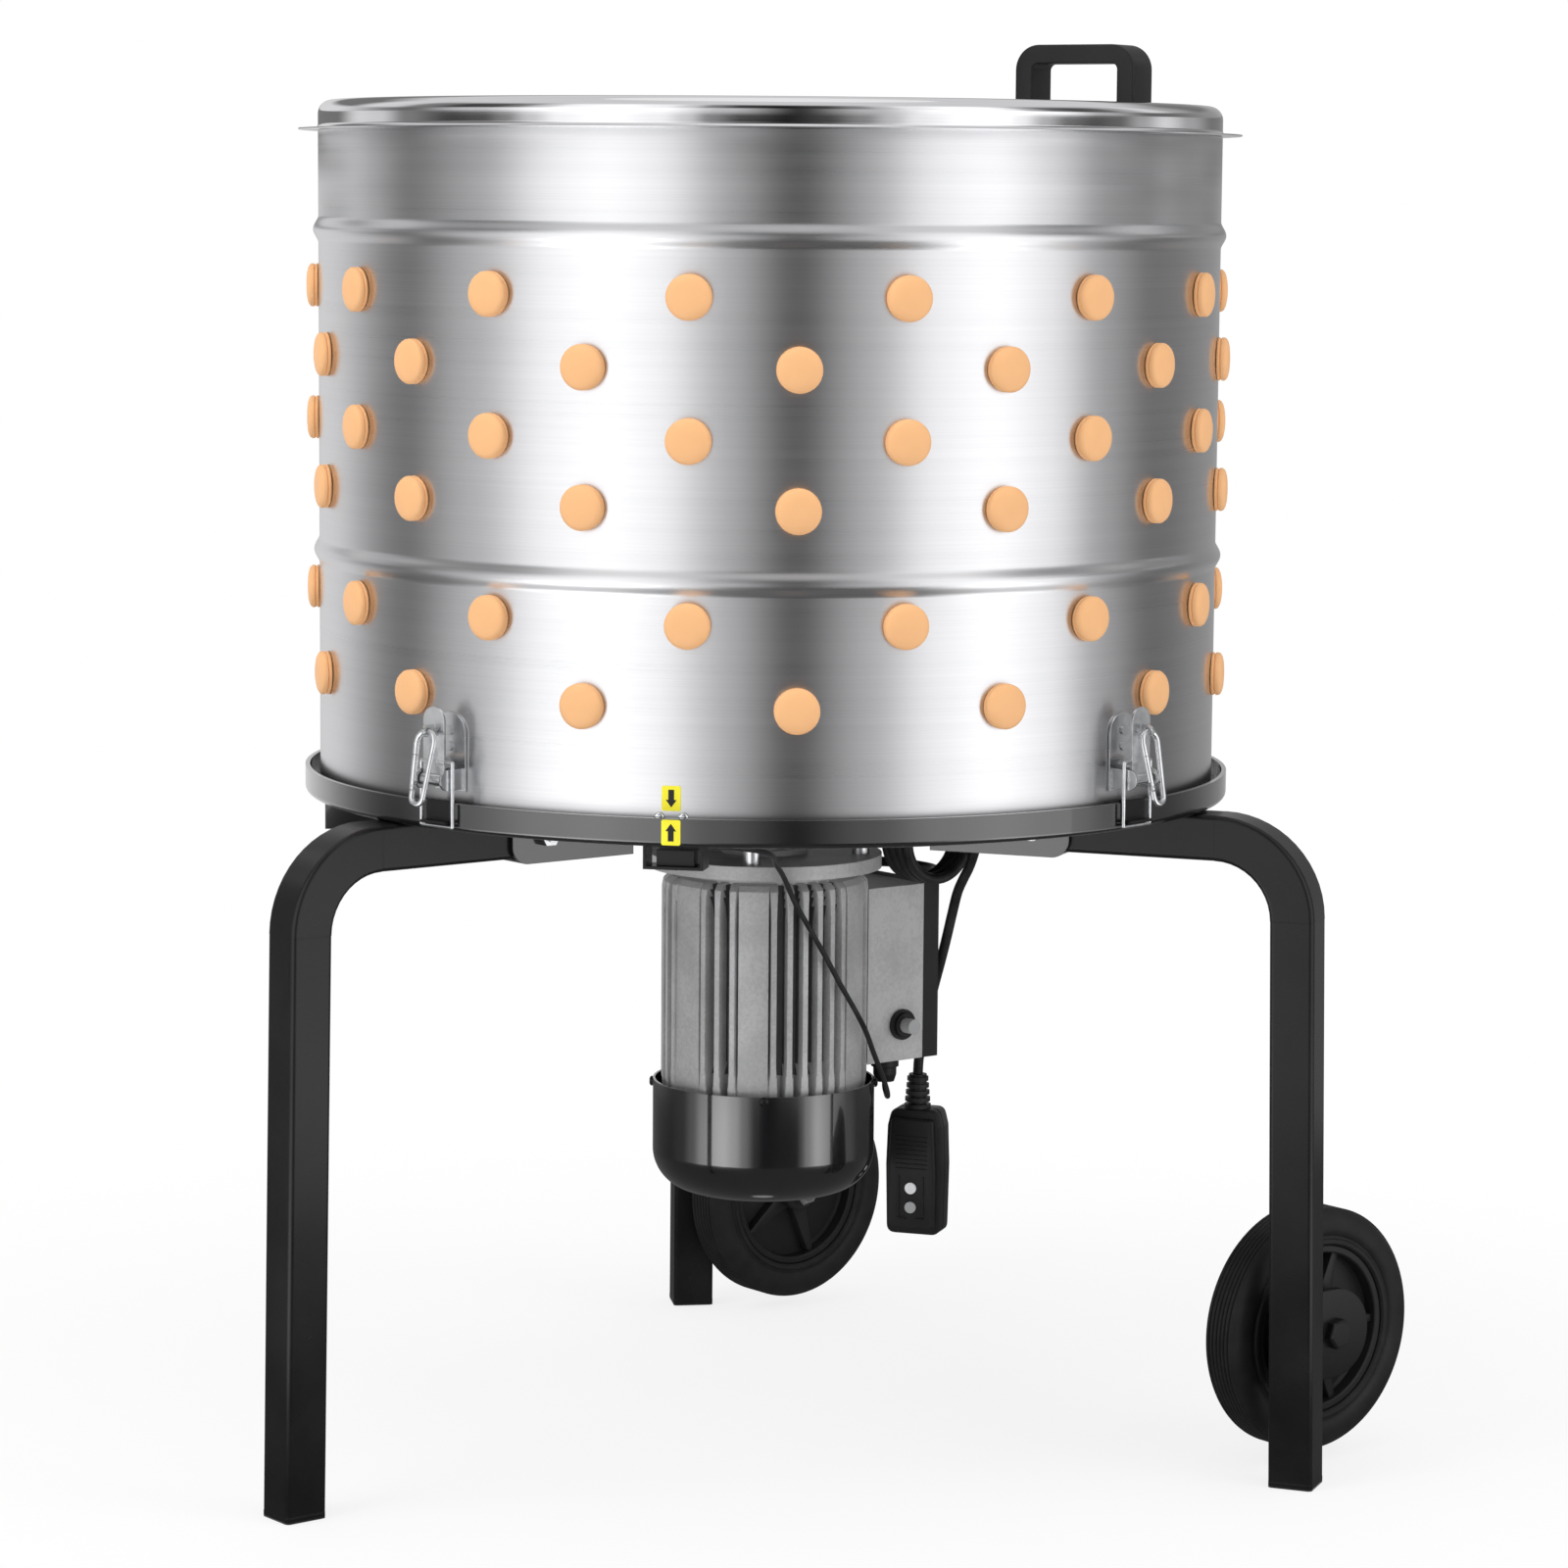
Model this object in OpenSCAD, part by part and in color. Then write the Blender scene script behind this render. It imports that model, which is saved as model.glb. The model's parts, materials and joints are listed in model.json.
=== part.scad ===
// Poultry plucker: a steel drum with rubber fingers over a spinning feather plate,
// on a black pan with three tube legs, two wheels and a motor underneath.
// Millimetres, +Z up, floor at z = 0. The lone leg stands toward -Y, the wheels toward +Y.

/* [Drum] */
// Outside radius of the drum wall
drum_r = 300; // [280:1:320]
// Thickness of the drum and lid sheet
sheet_t = 1.2; // [0.8:0.1:2]
// Height of the drum wall
drum_h = 436; // [420:1:460]
// Height of the two rolled beads above the drum's lower edge
bead_heights = [159.5, 371]; // [100:0.5:400]
// Half the height of a bead
bead_half_h = 7; // [5:0.5:9]
// How far a bead stands out of the wall
bead_proud = 3.5; // [2:0.5:5]

/* [Fingers] */
// Fingers in each row of the drum
fingers_per_row = 14; // [10:1:14]
// Heights of the finger rows above the drum's lower edge
row_heights = [82, 133.5, 204.5, 246.5, 290.5, 334]; // [60:0.5:340]
// Azimuth of the first finger of the lowest row
row_turn = 3.9; // [2:0.1:5]
// Diameter of a finger's head
head_d = 28.5; // [26:0.5:30]
// How far a finger's head stands out of the sheet
head_proud = 8; // [6:0.5:9]
// Diameter of the hole that a finger's neck sits in
finger_hole_d = 20.6; // [18:0.1:22]
// Length of a finger's ribbed shank inside the sheet
shank_len = 86; // [70:1:95]

/* [Feather plate] */
// Gap between the feather plate's edge and the outside of the drum wall
plate_gap = 20; // [15:1:40]
// Thickness of the feather plate
plate_t = 3; // [2:0.5:4]
// Height of the plate's top above the pan floor
plate_rise = 31.5; // [28:0.5:36]
// Radii of the three rings of plate fingers
plate_rings = [58, 118, 180]; // [50:1:190]
// Fingers in each of the rings
plate_ring_counts = [4, 8, 12]; // [3:1:14]

/* [Pan] */
// Height of the pan's underside above the floor
pan_z = 443; // [420:1:470]
// Thickness of the pan sheet
pan_t = 2.5; // [2:0.5:4]
// How far the pan's rim stands out past the drum wall
rim_step = 10; // [9:0.5:12]
// Height of the pan's rim, underside to top
rim_h = 18; // [14:1:24]
// Radius of the shaft hole in the pan
pan_hole_r = 30; // [26:1:34]

/* [Lid] */
// How far the lid's flat flange stands out past the drum wall
flange_step = 13; // [8:0.5:20]
// Height of the lid's raised wall
lid_h = 19.5; // [14:0.5:28]
// Radius of the lid's rounded top edge
lid_round = 9; // [4:0.5:12]
// Length of the lid handle
handle_len = 84; // [70:1:100]
// Height of the lid handle
handle_h = 37; // [30:1:45]
// Width of the lid handle
handle_w = 28; // [18:1:32]
// Thickness of the handle's strap
handle_t = 12; // [7:0.5:12]
// Distance of the handle's middle inside the drum wall
handle_in = 69; // [56:1:100]

/* [Legs] */
// Side of the square leg tube
tube_w = 30; // [27:0.5:32]
// Wall of the leg tube
tube_wall = 2; // [1.5:0.5:3]
// Distance of the legs' centres from the drum axis, at the height of the axle
leg_r = 378; // [360:1:400]
// Angle by which the legs lean outward toward the floor
leg_splay = 1; // [0:0.5:3]
// Radius of the tube's bend, on its centre line
bend_r = 53; // [42:1:60]
// Where the tube ends under the pan, from the drum axis
tube_inner_r = 132; // [120:1:150]
// Where the bracket under the pan starts, from the drum axis
bracket_inner_r = 125; // [118:1:130]
// Where the bracket under the pan ends, from the drum axis
bracket_outer_r = 222; // [215:1:240]
// Sheet of the leg brackets
bracket_t = 3; // [2:0.5:4]
// Thickness of the foot plug's sole
sole_t = 4; // [3:0.5:6]

/* [Wheels] */
// Radius of the tyre
tyre_r = 82; // [72:1:86]
// Width of the tyre
tyre_w = 32; // [26:1:36]
// Radius of the tyre's seat on the hub
rim_seat_r = 57; // [50:1:62]
// Distance of each wheel's middle inside the centre of its leg
wheel_inset = 46.5; // [43:0.5:52]
// Distance of the axle behind the centre of its leg
wheel_behind = 55.5; // [48:0.5:64]
// Height of the axle above the floor
wheel_z = 90; // [86:1:110]
// Radius of the axle bolts
axle_r = 6; // [5:0.5:8]
// Radius of the round end of the axle tabs
tab_r = 30; // [22:1:34]

/* [Motor] */
// Radius of the motor's top flange
motor_flange_r = 79; // [76:0.5:82]
// Thickness of the motor's top flange
motor_flange_t = 9.5; // [8:0.5:14]
// Gap between the pan and the motor's top flange
motor_gap = 43.5; // [38:0.5:50]
// Length of the motor body under the flange
motor_len = 154; // [148:1:160]
// Radius over the cooling fins
fin_r = 70; // [66:0.5:71]
// Radius of the motor body under the fins
motor_core_r = 59; // [57:0.5:61]
// Thickness of a cooling fin
fin_t = 3.8; // [3:0.1:4.2]
// Outside radius of the fan cover
cover_r = 75.5; // [75:0.5:80]
// Height of the fan cover
cover_h = 76; // [70:1:84]
// Radius of the fan cover's bottom edge
cover_round = 28; // [20:1:42]
// Radius of the motor shaft
shaft_r = 10; // [8:0.5:11]

/* [Terminal box] */
// Half the width of the terminal box
box_half_w = 44; // [40:1:48]
// Height of the terminal box
box_h = 121; // [110:1:125]
// Distance of the box's open side from the motor axis
box_reach = 104; // [100:1:110]
// Depth of the black box cover
box_cover_t = 13.5; // [10:0.5:16]
// Travel of the reset button
reset_travel = 3; // [2:0.5:4]

/* [Latches] */
// Number of latches round the drum
latch_count = 4; // [3:1:4]
// Azimuth of the first latch
latch_turn = 10.5; // [9:0.5:12]
// Width of a latch lever's tongue
tongue_w = 18.5; // [17:0.5:19.5]
// Length of a latch lever's tongue above its pivot
tongue_len = 46; // [42:1:48]
// Diameter of the bail wire
bail_d = 2.5; // [2:0.1:3]
// Diameter of the safety clip's wire
clip_d = 3.6; // [3:0.1:4]

/* [Cord] */
// Diameter of the mains cord
cord_d = 7; // [6:0.1:7]
// Radius of the coil's turns
coil_r = 28.5; // [28:0.5:29]
// Distance between neighbouring turns of the coil
coil_pitch = 7.6; // [7.5:0.1:7.8]
// Diameter of the switch lead
lead_d = 3.6; // [3:0.1:3.8]

/* [Plug] */
// Width of the plug case
plug_w = 40; // [36:1:44]
// Length of the plug case
plug_h = 88; // [80:1:95]
// Depth of the plug case
plug_depth = 28; // [24:1:32]

/* [Hidden] */
$fn = 48;

// Clearances
run_gap = 0.05;
slide_gap = 0.3;
seat_gap = 0.1;

// Pieces that keep to the drum wall, and wheels that keep to their legs
plate_r = drum_r - plate_gap;
rim_r = drum_r + rim_step;
flange_r = drum_r + flange_step;
handle_r = drum_r - handle_in;
wheel_x = leg_r * sin(120) - wheel_inset;
wheel_y = leg_r * cos(60) + wheel_behind;

// The middle of the feet and wheels is the origin, so the drum axis lies a little behind it
foot_r = leg_r + wheel_z * tan(leg_splay);
front_reach = foot_r + tube_w / 2;
back_reach = wheel_y + tyre_r;
axis_y = (front_reach - back_reach) / 2;
leg_azimuths = [0, 120, 240];

// Levels
pan_floor = pan_z + pan_t;
drum_top = pan_floor + drum_h;
plate_top = pan_floor + plate_rise;
plate_low = plate_top - plate_t;
tube_z = pan_z - seat_gap - tube_w / 2;
flange_top = pan_z - motor_gap;
motor_top = flange_top - motor_flange_t;
motor_low = motor_top - motor_len;
cover_low = motor_low + 8 - cover_h;
lid_top = drum_top + lid_h;

// Moves a shape from the drum axis to its place over the origin
module on_axis() {
    translate([0, axis_y, 0]) children();
}

// Turns a shape so that its +X points outward at an azimuth, counted from the front leg
module outward(azimuth) {
    on_axis() rotate([0, 0, azimuth - 90]) children();
}

// Square with round corners, centred
module round_square(w, h, r) {
    square([w - 2 * r, h], center = true);
    square([w, h - 2 * r], center = true);
    for (sx = [-1, 1], sy = [-1, 1]) translate([sx * (w / 2 - r), sy * (h / 2 - r)]) circle(r);
}

// Hexagon prism, by the distance across its flats
module hex(flats, h) {
    cylinder(d = flats / cos(30), h = h, $fn = 6);
}

// Cylinder along +X
module rod(r, len) {
    rotate([0, 90, 0]) cylinder(r = r, h = len);
}

// Cylinder along +Y, centred
module cross_rod(r, len) {
    rotate([90, 0, 0]) cylinder(r = r, h = len, center = true);
}

// Rubber finger standing up from a sheet: its head is under the sheet's lower face at z = 0
neck_r = finger_hole_d / 2 - slide_gap;
collar_r = neck_r + 2;
collar_h = 4;
tip_r = 6.5;
module finger(t) {
    base = t + seat_gap;
    rotate_extrude() polygon([[0, -head_proud], [head_d / 2 - 4, -head_proud], [head_d / 2, -head_proud + 3],
        [head_d / 2, -seat_gap], [neck_r, -seat_gap], [neck_r, base], [collar_r, base],
        [collar_r - 0.8, base + collar_h], [neck_r - 0.6, base + collar_h + 1],
        [tip_r, base + shank_len - 3], [tip_r - 2, base + shank_len], [0, base + shank_len]]);
}

// Places one shape at each finger of the drum, pointing inward
module at_drum_fingers() {
    pitch = 360 / fingers_per_row;
    for (i = [0 : len(row_heights) - 1], k = [0 : fingers_per_row - 1])
        outward(row_turn + (k + (i % 2) / 2) * pitch)
            translate([drum_r, 0, pan_floor + row_heights[i]]) rotate([0, -90, 0]) children();
}

// Places one shape at each finger of the feather plate, pointing up
module at_plate_fingers() {
    for (i = [0 : len(plate_rings) - 1], k = [0 : plate_ring_counts[i] - 1])
        outward((k + i / 3) * 360 / plate_ring_counts[i])
            translate([plate_rings[i], 0, plate_low]) children();
}

module drum_fingers() {
    color("sandybrown") at_drum_fingers() finger(sheet_t);
}

module plate_fingers() {
    color("sandybrown") at_plate_fingers() finger(plate_t);
}

// Drum wall with its two rolled beads
bead_r = (bead_half_h * bead_half_h + bead_proud * bead_proud) / (2 * bead_proud);
module drum_shell() {
    inner = drum_r - sheet_t;
    color("silver") difference() {
        on_axis() translate([0, 0, pan_floor]) rotate_extrude() difference() {
            union() {
                translate([inner, 0]) square([sheet_t, drum_h]);
                for (h = bead_heights) intersection() {
                    translate([drum_r + bead_proud - bead_r, h]) circle(bead_r);
                    translate([inner, h - bead_half_h]) square([bead_r, 2 * bead_half_h]);
                }
            }
            for (h = bead_heights) intersection() {
                translate([drum_r + bead_proud - bead_r, h]) circle(bead_r - sheet_t);
                translate([inner - sheet_t, h - bead_half_h]) square([bead_r, 2 * bead_half_h]);
            }
        }
        at_drum_fingers() translate([0, 0, -2]) cylinder(d = finger_hole_d, h = sheet_t + 4);
        for (a = guide_azimuths) outward(a) translate([drum_r - 4, 0, guide_z])
            rod(cover_screw_r + slide_gap, 8);
    }
}

// Pan with its upturned rim, shaft hole, stud holes and feather outlet
stud_azimuths = [44, 134, 224, 314];
stud_pcd_r = 65;
stud_r = 6;
stud_end_r = 4;
rim_t = 3;
outlet_azimuth = 322;
outlet_in = 105;
outlet_inner_r = drum_r - outlet_in;
outlet_len = 80;
outlet_w = 180;
chute_h = 18;
module pan_sheet() {
    on_axis() translate([0, 0, pan_z]) rotate_extrude() difference() {
        union() {
            square([rim_r - 4, pan_t]);
            translate([rim_r - rim_t, 4]) square([rim_t, rim_h - 4]);
            translate([rim_r - 4, 4]) circle(4);
        }
        translate([0, pan_t]) square([rim_r - rim_t, rim_h]);
        square([pan_hole_r, 3 * pan_t], center = true);
    }
}

// Channel bracket under the pan that holds a leg's tube
channel_w = tube_w + 2 * slide_gap + 2 * bracket_t;
channel_low = tube_z - tube_w / 2 - slide_gap - bracket_t;
channel_round = 12;
leg_bolt_rs = [bracket_outer_r - 26, bracket_inner_r + 24];
leg_bolt_r = 4;
module leg_channel() {
    difference() {
        rotate([90, 0, 0]) linear_extrude(channel_w, center = true) {
            translate([bracket_inner_r, channel_low])
                square([bracket_outer_r - bracket_inner_r - channel_round, pan_z + 1 - channel_low]);
            translate([bracket_inner_r, channel_low + channel_round])
                square([bracket_outer_r - bracket_inner_r, pan_z + 1 - channel_low - channel_round]);
            translate([bracket_outer_r - channel_round, channel_low + channel_round])
                circle(channel_round);
        }
        translate([bracket_inner_r - 1, -tube_w / 2 - slide_gap, tube_z - tube_w / 2 - slide_gap])
            cube([bracket_outer_r, tube_w + 2 * slide_gap, tube_w + slide_gap]);
        for (r = leg_bolt_rs) translate([r, 0, tube_z]) cross_rod(leg_bolt_r + slide_gap, 2 * channel_w);
    }
}

module base_pan() {
    color("#15161a") {
        difference() {
            pan_sheet();
            for (a = stud_azimuths) outward(a)
                translate([stud_pcd_r, 0, pan_z - 1]) cylinder(r = stud_end_r + slide_gap, h = pan_t + 2);
            outward(outlet_azimuth) translate([outlet_inner_r, -outlet_w / 2, pan_z - 1])
                cube([outlet_len, outlet_w, pan_t + 2]);
        }
        for (a = leg_azimuths) outward(a) leg_channel();
        for (s = [-1, 1]) outward(outlet_azimuth)
            translate([outlet_inner_r, s * (outlet_w / 2 + pan_t / 2) - pan_t / 2, pan_z - chute_h])
                cube([outlet_len + 15, pan_t, chute_h + 1]);
    }
}

// Bent square tube of one leg, with its bolt holes
tube_corner = 3;
seam = 0.2;
module tube_section(less = 0) {
    difference() {
        round_square(tube_w - less, tube_w - less, tube_corner);
        square(tube_w - 2 * tube_wall - less, center = true);
    }
}
bend_end_z = tube_z - bend_r + bend_r * sin(leg_splay);
bend_x = leg_r - (bend_end_z - wheel_z) * tan(leg_splay) - bend_r * cos(leg_splay);
module along_leg() {
    translate([foot_r, 0, 0]) rotate([0, -leg_splay, 0]) translate([0, 0, sole_t - 1]) children();
}
module leg_tube() {
    difference() {
        union() {
            along_leg() linear_extrude(bend_end_z / cos(leg_splay) - sole_t + 3) tube_section(seam);
            translate([bend_x, 0, tube_z - bend_r]) rotate([90, 0, 0]) rotate([0, 0, leg_splay])
                rotate_extrude(angle = 90 - leg_splay) translate([bend_r, 0]) tube_section();
            translate([tube_inner_r, 0, tube_z]) rotate([0, 90, 0])
                linear_extrude(bend_x - tube_inner_r + 2) tube_section(seam);
        }
        translate([foot_r - tube_w, -tube_w, -1]) cube([2 * tube_w, 2 * tube_w, sole_t + seat_gap + 1]);
        for (r = leg_bolt_rs) translate([r, 0, tube_z]) cross_rod(leg_bolt_r + slide_gap, 2 * channel_w);
    }
}
module foot_plug() {
    inside = tube_w - 2 * tube_wall - seam - 2 * seat_gap;
    translate([foot_r, 0, 0]) linear_extrude(sole_t) round_square(tube_w, tube_w, tube_corner);
    along_leg() linear_extrude(15) square(inside, center = true);
}

// Tab welded to a wheel leg; the axle bolt passes through it along X
tab_t = 6;
leg_corner_x = leg_r * sin(120) - tube_w / 2 * (sin(120) + cos(60));
leg_corner_y = -leg_r * cos(120) + tube_w / 2 * (sin(120) - cos(60));
tab_x = leg_corner_x + 1.5 - tab_t;
module axle_tab() {
    on_axis() difference() {
        union() {
            translate([tab_x, wheel_y, wheel_z]) rod(tab_r, tab_t);
            translate([tab_x, leg_corner_y - 6, wheel_z - tab_r])
                cube([tab_t, wheel_y - leg_corner_y + 6, 2 * tab_r]);
        }
        translate([tab_x - 1, wheel_y, wheel_z]) rod(axle_r + slide_gap, tab_t + 2);
        outward(120) translate([leg_r, 0, wheel_z]) cube([tube_w - 2, tube_w - 2, 4 * tab_r], center = true);
    }
}
module legs() {
    color("#101114") {
        for (a = leg_azimuths) outward(a) foot_plug();
        outward(leg_azimuths[0]) leg_tube();
        for (side = [0, 1]) mirror([side, 0, 0]) {
            outward(leg_azimuths[1]) leg_tube();
            axle_tab();
        }
    }
}

// Hex bolts and nuts that clamp the legs in their channels
leg_bolt_flats = 13;
module leg_bolts() {
    color("gainsboro") for (a = leg_azimuths, r = leg_bolt_rs) outward(a) translate([r, 0, tube_z]) {
        rotate([90, 0, 0]) {
            translate([0, 0, channel_w / 2 + seat_gap]) {
                cylinder(r = 8, h = 1.6);
                translate([0, 0, 1.6]) hex(leg_bolt_flats, 5.3);
            }
            translate([0, 0, -channel_w / 2 - 9]) cylinder(r = leg_bolt_r, h = channel_w + 9.5);
        }
        translate([0, channel_w / 2 + seat_gap, 0]) rotate([-90, 0, 0]) difference() {
            hex(leg_bolt_flats, 6.5);
            translate([0, 0, -1]) cylinder(r = leg_bolt_r + run_gap, h = 9);
        }
    }
}

// Axle bolts with their nuts, along X
hub_half = 19;
axle_end_x = wheel_x - hub_half - 10;
module axle_bolts() {
    color("gainsboro") for (side = [0, 1]) mirror([side, 0, 0]) on_axis() translate([0, wheel_y, wheel_z]) {
        translate([axle_end_x, 0, 0]) rod(axle_r, tab_x + tab_t - axle_end_x + 1);
        translate([tab_x + tab_t + seat_gap, 0, 0]) rotate([0, 90, 0]) hex(18, 6);
        translate([wheel_x - hub_half - 0.6, 0, 0]) rotate([0, -90, 0]) difference() {
            hex(18, 7);
            translate([0, 0, -1]) cylinder(r = axle_r + run_gap, h = 9);
        }
    }
}

// Wheel hub: boss, web with five spokes, and the rim that carries the tyre
hub_boss_r = 15;
spoke_count = 5;
module wheel_hub() {
    boss_out = tab_x - wheel_x - slide_gap;
    rotate([0, 90, 0]) difference() {
        union() {
            translate([0, 0, -hub_half]) cylinder(r = hub_boss_r, h = hub_half + boss_out);
            translate([0, 0, -3]) cylinder(r = rim_seat_r - 3, h = 6);
            difference() {
                translate([0, 0, -tyre_w / 2 + 3]) cylinder(r = rim_seat_r - seat_gap, h = tyre_w - 6);
                translate([0, 0, -tyre_w / 2]) cylinder(r = rim_seat_r - 5, h = tyre_w);
            }
            for (k = [0 : spoke_count - 1]) rotate([0, 0, k * 360 / spoke_count])
                translate([hub_boss_r - 3, -3.5, -8]) cube([rim_seat_r - hub_boss_r - 1, 7, 16]);
        }
        translate([0, 0, -hub_half - 1]) cylinder(r = axle_r + run_gap, h = 3 * hub_half);
    }
}

// Tyre with rounded shoulders and grooves round its tread
groove_offsets = [-9, -3, 3, 9];
module wheel_tyre() {
    shoulder = 9;
    rotate([0, 90, 0]) rotate_extrude() difference() {
        union() {
            translate([rim_seat_r, -tyre_w / 2]) square([tyre_r - shoulder - rim_seat_r, tyre_w]);
            translate([rim_seat_r, -tyre_w / 2 + shoulder])
                square([tyre_r - rim_seat_r, tyre_w - 2 * shoulder]);
            for (s = [-1, 1]) translate([tyre_r - shoulder, s * (tyre_w / 2 - shoulder)]) circle(shoulder);
        }
        for (y = groove_offsets) translate([tyre_r, y]) circle(1.1);
    }
}
module at_wheel(side) {
    on_axis() mirror([side, 0, 0]) translate([wheel_x, wheel_y, wheel_z]) children();
}
module tyre_right() { color("#1a1a1c") at_wheel(0) wheel_tyre(); }
module tyre_left() { color("#1a1a1c") at_wheel(1) wheel_tyre(); }
module hub_right() { color("#232326") at_wheel(0) wheel_hub(); }
module hub_left() { color("#232326") at_wheel(1) wheel_hub(); }

// Shouldered studs and nuts that hang the motor under the pan
module motor_studs() {
    low = motor_top + 1;
    high = pan_floor + 9;
    nut_h = 6;
    color("lightgray") for (a = stud_azimuths) outward(a) translate([stud_pcd_r, 0, 0]) {
        translate([0, 0, low]) cylinder(r = stud_end_r, h = high - low);
        translate([0, 0, flange_top + seat_gap]) cylinder(r = stud_r, h = motor_gap - 2 * seat_gap);
        translate([0, 0, pan_floor + seat_gap]) difference() {
            hex(13, nut_h);
            translate([0, 0, -1]) cylinder(r = stud_end_r + run_gap, h = nut_h + 2);
        }
    }
}

// Motor's top flange with the upper bearing's seat
bearing_r = 21;
bearing_h = 10;
module motor_flange() {
    color("#8b8d8f") on_axis() difference() {
        union() {
            translate([0, 0, motor_top]) cylinder(r = motor_flange_r, h = motor_flange_t);
            translate([0, 0, motor_top - bearing_h])
                cylinder(r = bearing_r + 8, h = bearing_h + motor_flange_t + 4);
        }
        translate([0, 0, motor_top - bearing_h - 1]) cylinder(r = bearing_r + seat_gap, h = bearing_h + 1);
        translate([0, 0, motor_top - 1]) cylinder(r = shaft_r + 1, h = motor_flange_t + 9);
        for (a = stud_azimuths) rotate([0, 0, a - 90]) translate([stud_pcd_r, 0, motor_top - 1])
            cylinder(r = stud_end_r + slide_gap, h = motor_flange_t + 2);
    }
}

// Finned motor body, closed at the bottom round the lower bearing
stator_r = motor_core_r - 6;
end_wall = 9;
fin_azimuths = [15.8, 24.8, 33.8, 57, 66, 75, 84, 92.5, 101, 134, 143, 152, 161, 170];
pads = [[2, 25], [45.5, 21], [117, 27]];
cover_pad_w = 16;
cover_t = 1.5;
cover_pad_azimuths = [-38, 52, 142, 232];
module motor_body() {
    color("#9a9c9e") on_axis() difference() {
        union() {
            translate([0, 0, motor_low]) cylinder(r = motor_core_r, h = motor_len - seat_gap);
            for (a = fin_azimuths, turn = [0, 180]) rotate([0, 0, a + turn - 90])
                translate([motor_core_r - 2, -fin_t / 2, motor_low + 0.6])
                    cube([fin_r - motor_core_r + 2, fin_t, motor_len - 5]);
            for (p = pads, turn = [0, 180]) rotate([0, 0, p[0] + turn - 90])
                translate([motor_core_r - 5, -p[1] / 2, motor_low + 1.4])
                    cube([fin_r - motor_core_r + 3, p[1], motor_len - 5]);
            for (a = cover_pad_azimuths) rotate([0, 0, a - 90])
                translate([motor_core_r - 4, -cover_pad_w / 2, motor_low + 2.2])
                    cube([cover_r - cover_t - 1.2 - motor_core_r + 4, cover_pad_w, 8]);
        }
        translate([0, 0, motor_low + end_wall]) cylinder(r = stator_r + seat_gap, h = motor_len);
        translate([0, 0, motor_low - 1]) cylinder(r = shaft_r + 1, h = end_wall + 2);
        translate([0, 0, motor_low + 3]) cylinder(r = bearing_r + seat_gap, h = bearing_h);
        for (a = cover_pad_azimuths) rotate([0, 0, a - 90]) translate([motor_core_r - 1, 0, motor_low + 5])
            rod(cover_screw_r + slide_gap, 30);
    }
}

stack_low = motor_low + 32;
stack_h = 76;
air_gap = 0.6;
rotor_r = 33;
module stator() {
    color("#7a4a2a") on_axis() difference() {
        union() {
            translate([0, 0, stack_low]) cylinder(r = stator_r, h = stack_h);
            translate([0, 0, stack_low - 14]) cylinder(r = stator_r - 5, h = stack_h + 28);
        }
        translate([0, 0, stack_low - 20]) cylinder(r = rotor_r + air_gap, h = stack_h + 40);
    }
}

module rotor() {
    color("#7d7f82") on_axis() translate([0, 0, stack_low]) difference() {
        cylinder(r = rotor_r, h = stack_h);
        translate([0, 0, -1]) cylinder(r = shaft_r + run_gap, h = stack_h + 2);
    }
}

module shaft_bearings() {
    color("silver") on_axis() for (z = [motor_low + 3 + seat_gap, motor_top - bearing_h])
        translate([0, 0, z]) difference() {
            cylinder(r = bearing_r, h = bearing_h - 2 * seat_gap);
            translate([0, 0, -1]) cylinder(r = shaft_r + run_gap, h = bearing_h + 2);
        }
}

// One shaft from the cooling fan through the motor to the feather plate
fan_z = motor_low - 38;
shaft_top = plate_top + 14;
module output_shaft() {
    color("silver") on_axis() translate([0, 0, fan_z]) cylinder(r = shaft_r, h = shaft_top - fan_z);
}

fan_blades = 7;
fan_r = 62;
module cooling_fan() {
    color("#303033") on_axis() translate([0, 0, fan_z]) difference() {
        union() {
            cylinder(r = 18, h = 26);
            translate([0, 0, 22]) cylinder(r = fan_r, h = 3);
            for (k = [0 : fan_blades - 1]) rotate([0, 0, k * 360 / fan_blades])
                translate([15, -1.25, 0]) cube([fan_r - 17, 2.5, 24]);
        }
        translate([0, 0, -1]) cylinder(r = shaft_r + run_gap, h = 30);
    }
}

// Bowl over the cooling fan, with air holes in its bottom
cover_screw_r = 2;
air_hole_rings = [[14, 6], [27, 12], [38, 16]];
module fan_cover() {
    inner = cover_r - cover_t;
    color("#0d0d0f") on_axis() difference() {
        translate([0, 0, cover_low]) rotate_extrude() difference() {
            union() {
                square([cover_r - cover_round, cover_h]);
                translate([0, cover_round]) square([cover_r, cover_h - cover_round]);
                intersection() {
                    translate([cover_r - cover_round, cover_round]) circle(cover_round);
                    square([cover_r, cover_h]);
                }
            }
            translate([0, cover_t]) square([inner - cover_round + cover_t, cover_h]);
            translate([0, cover_round]) square([inner, cover_h]);
            intersection() {
                translate([cover_r - cover_round, cover_round]) circle(cover_round - cover_t);
                square([cover_r, cover_h]);
            }
        }
        for (ring = air_hole_rings, k = [0 : ring[1] - 1]) rotate([0, 0, k * 360 / ring[1]])
            translate([ring[0], 0, cover_low - 1]) cylinder(r = 3.2, h = 6);
        for (a = cover_pad_azimuths) rotate([0, 0, a - 90]) translate([inner - 2, 0, motor_low + 5])
            rod(cover_screw_r + slide_gap, 8);
    }
}

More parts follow.
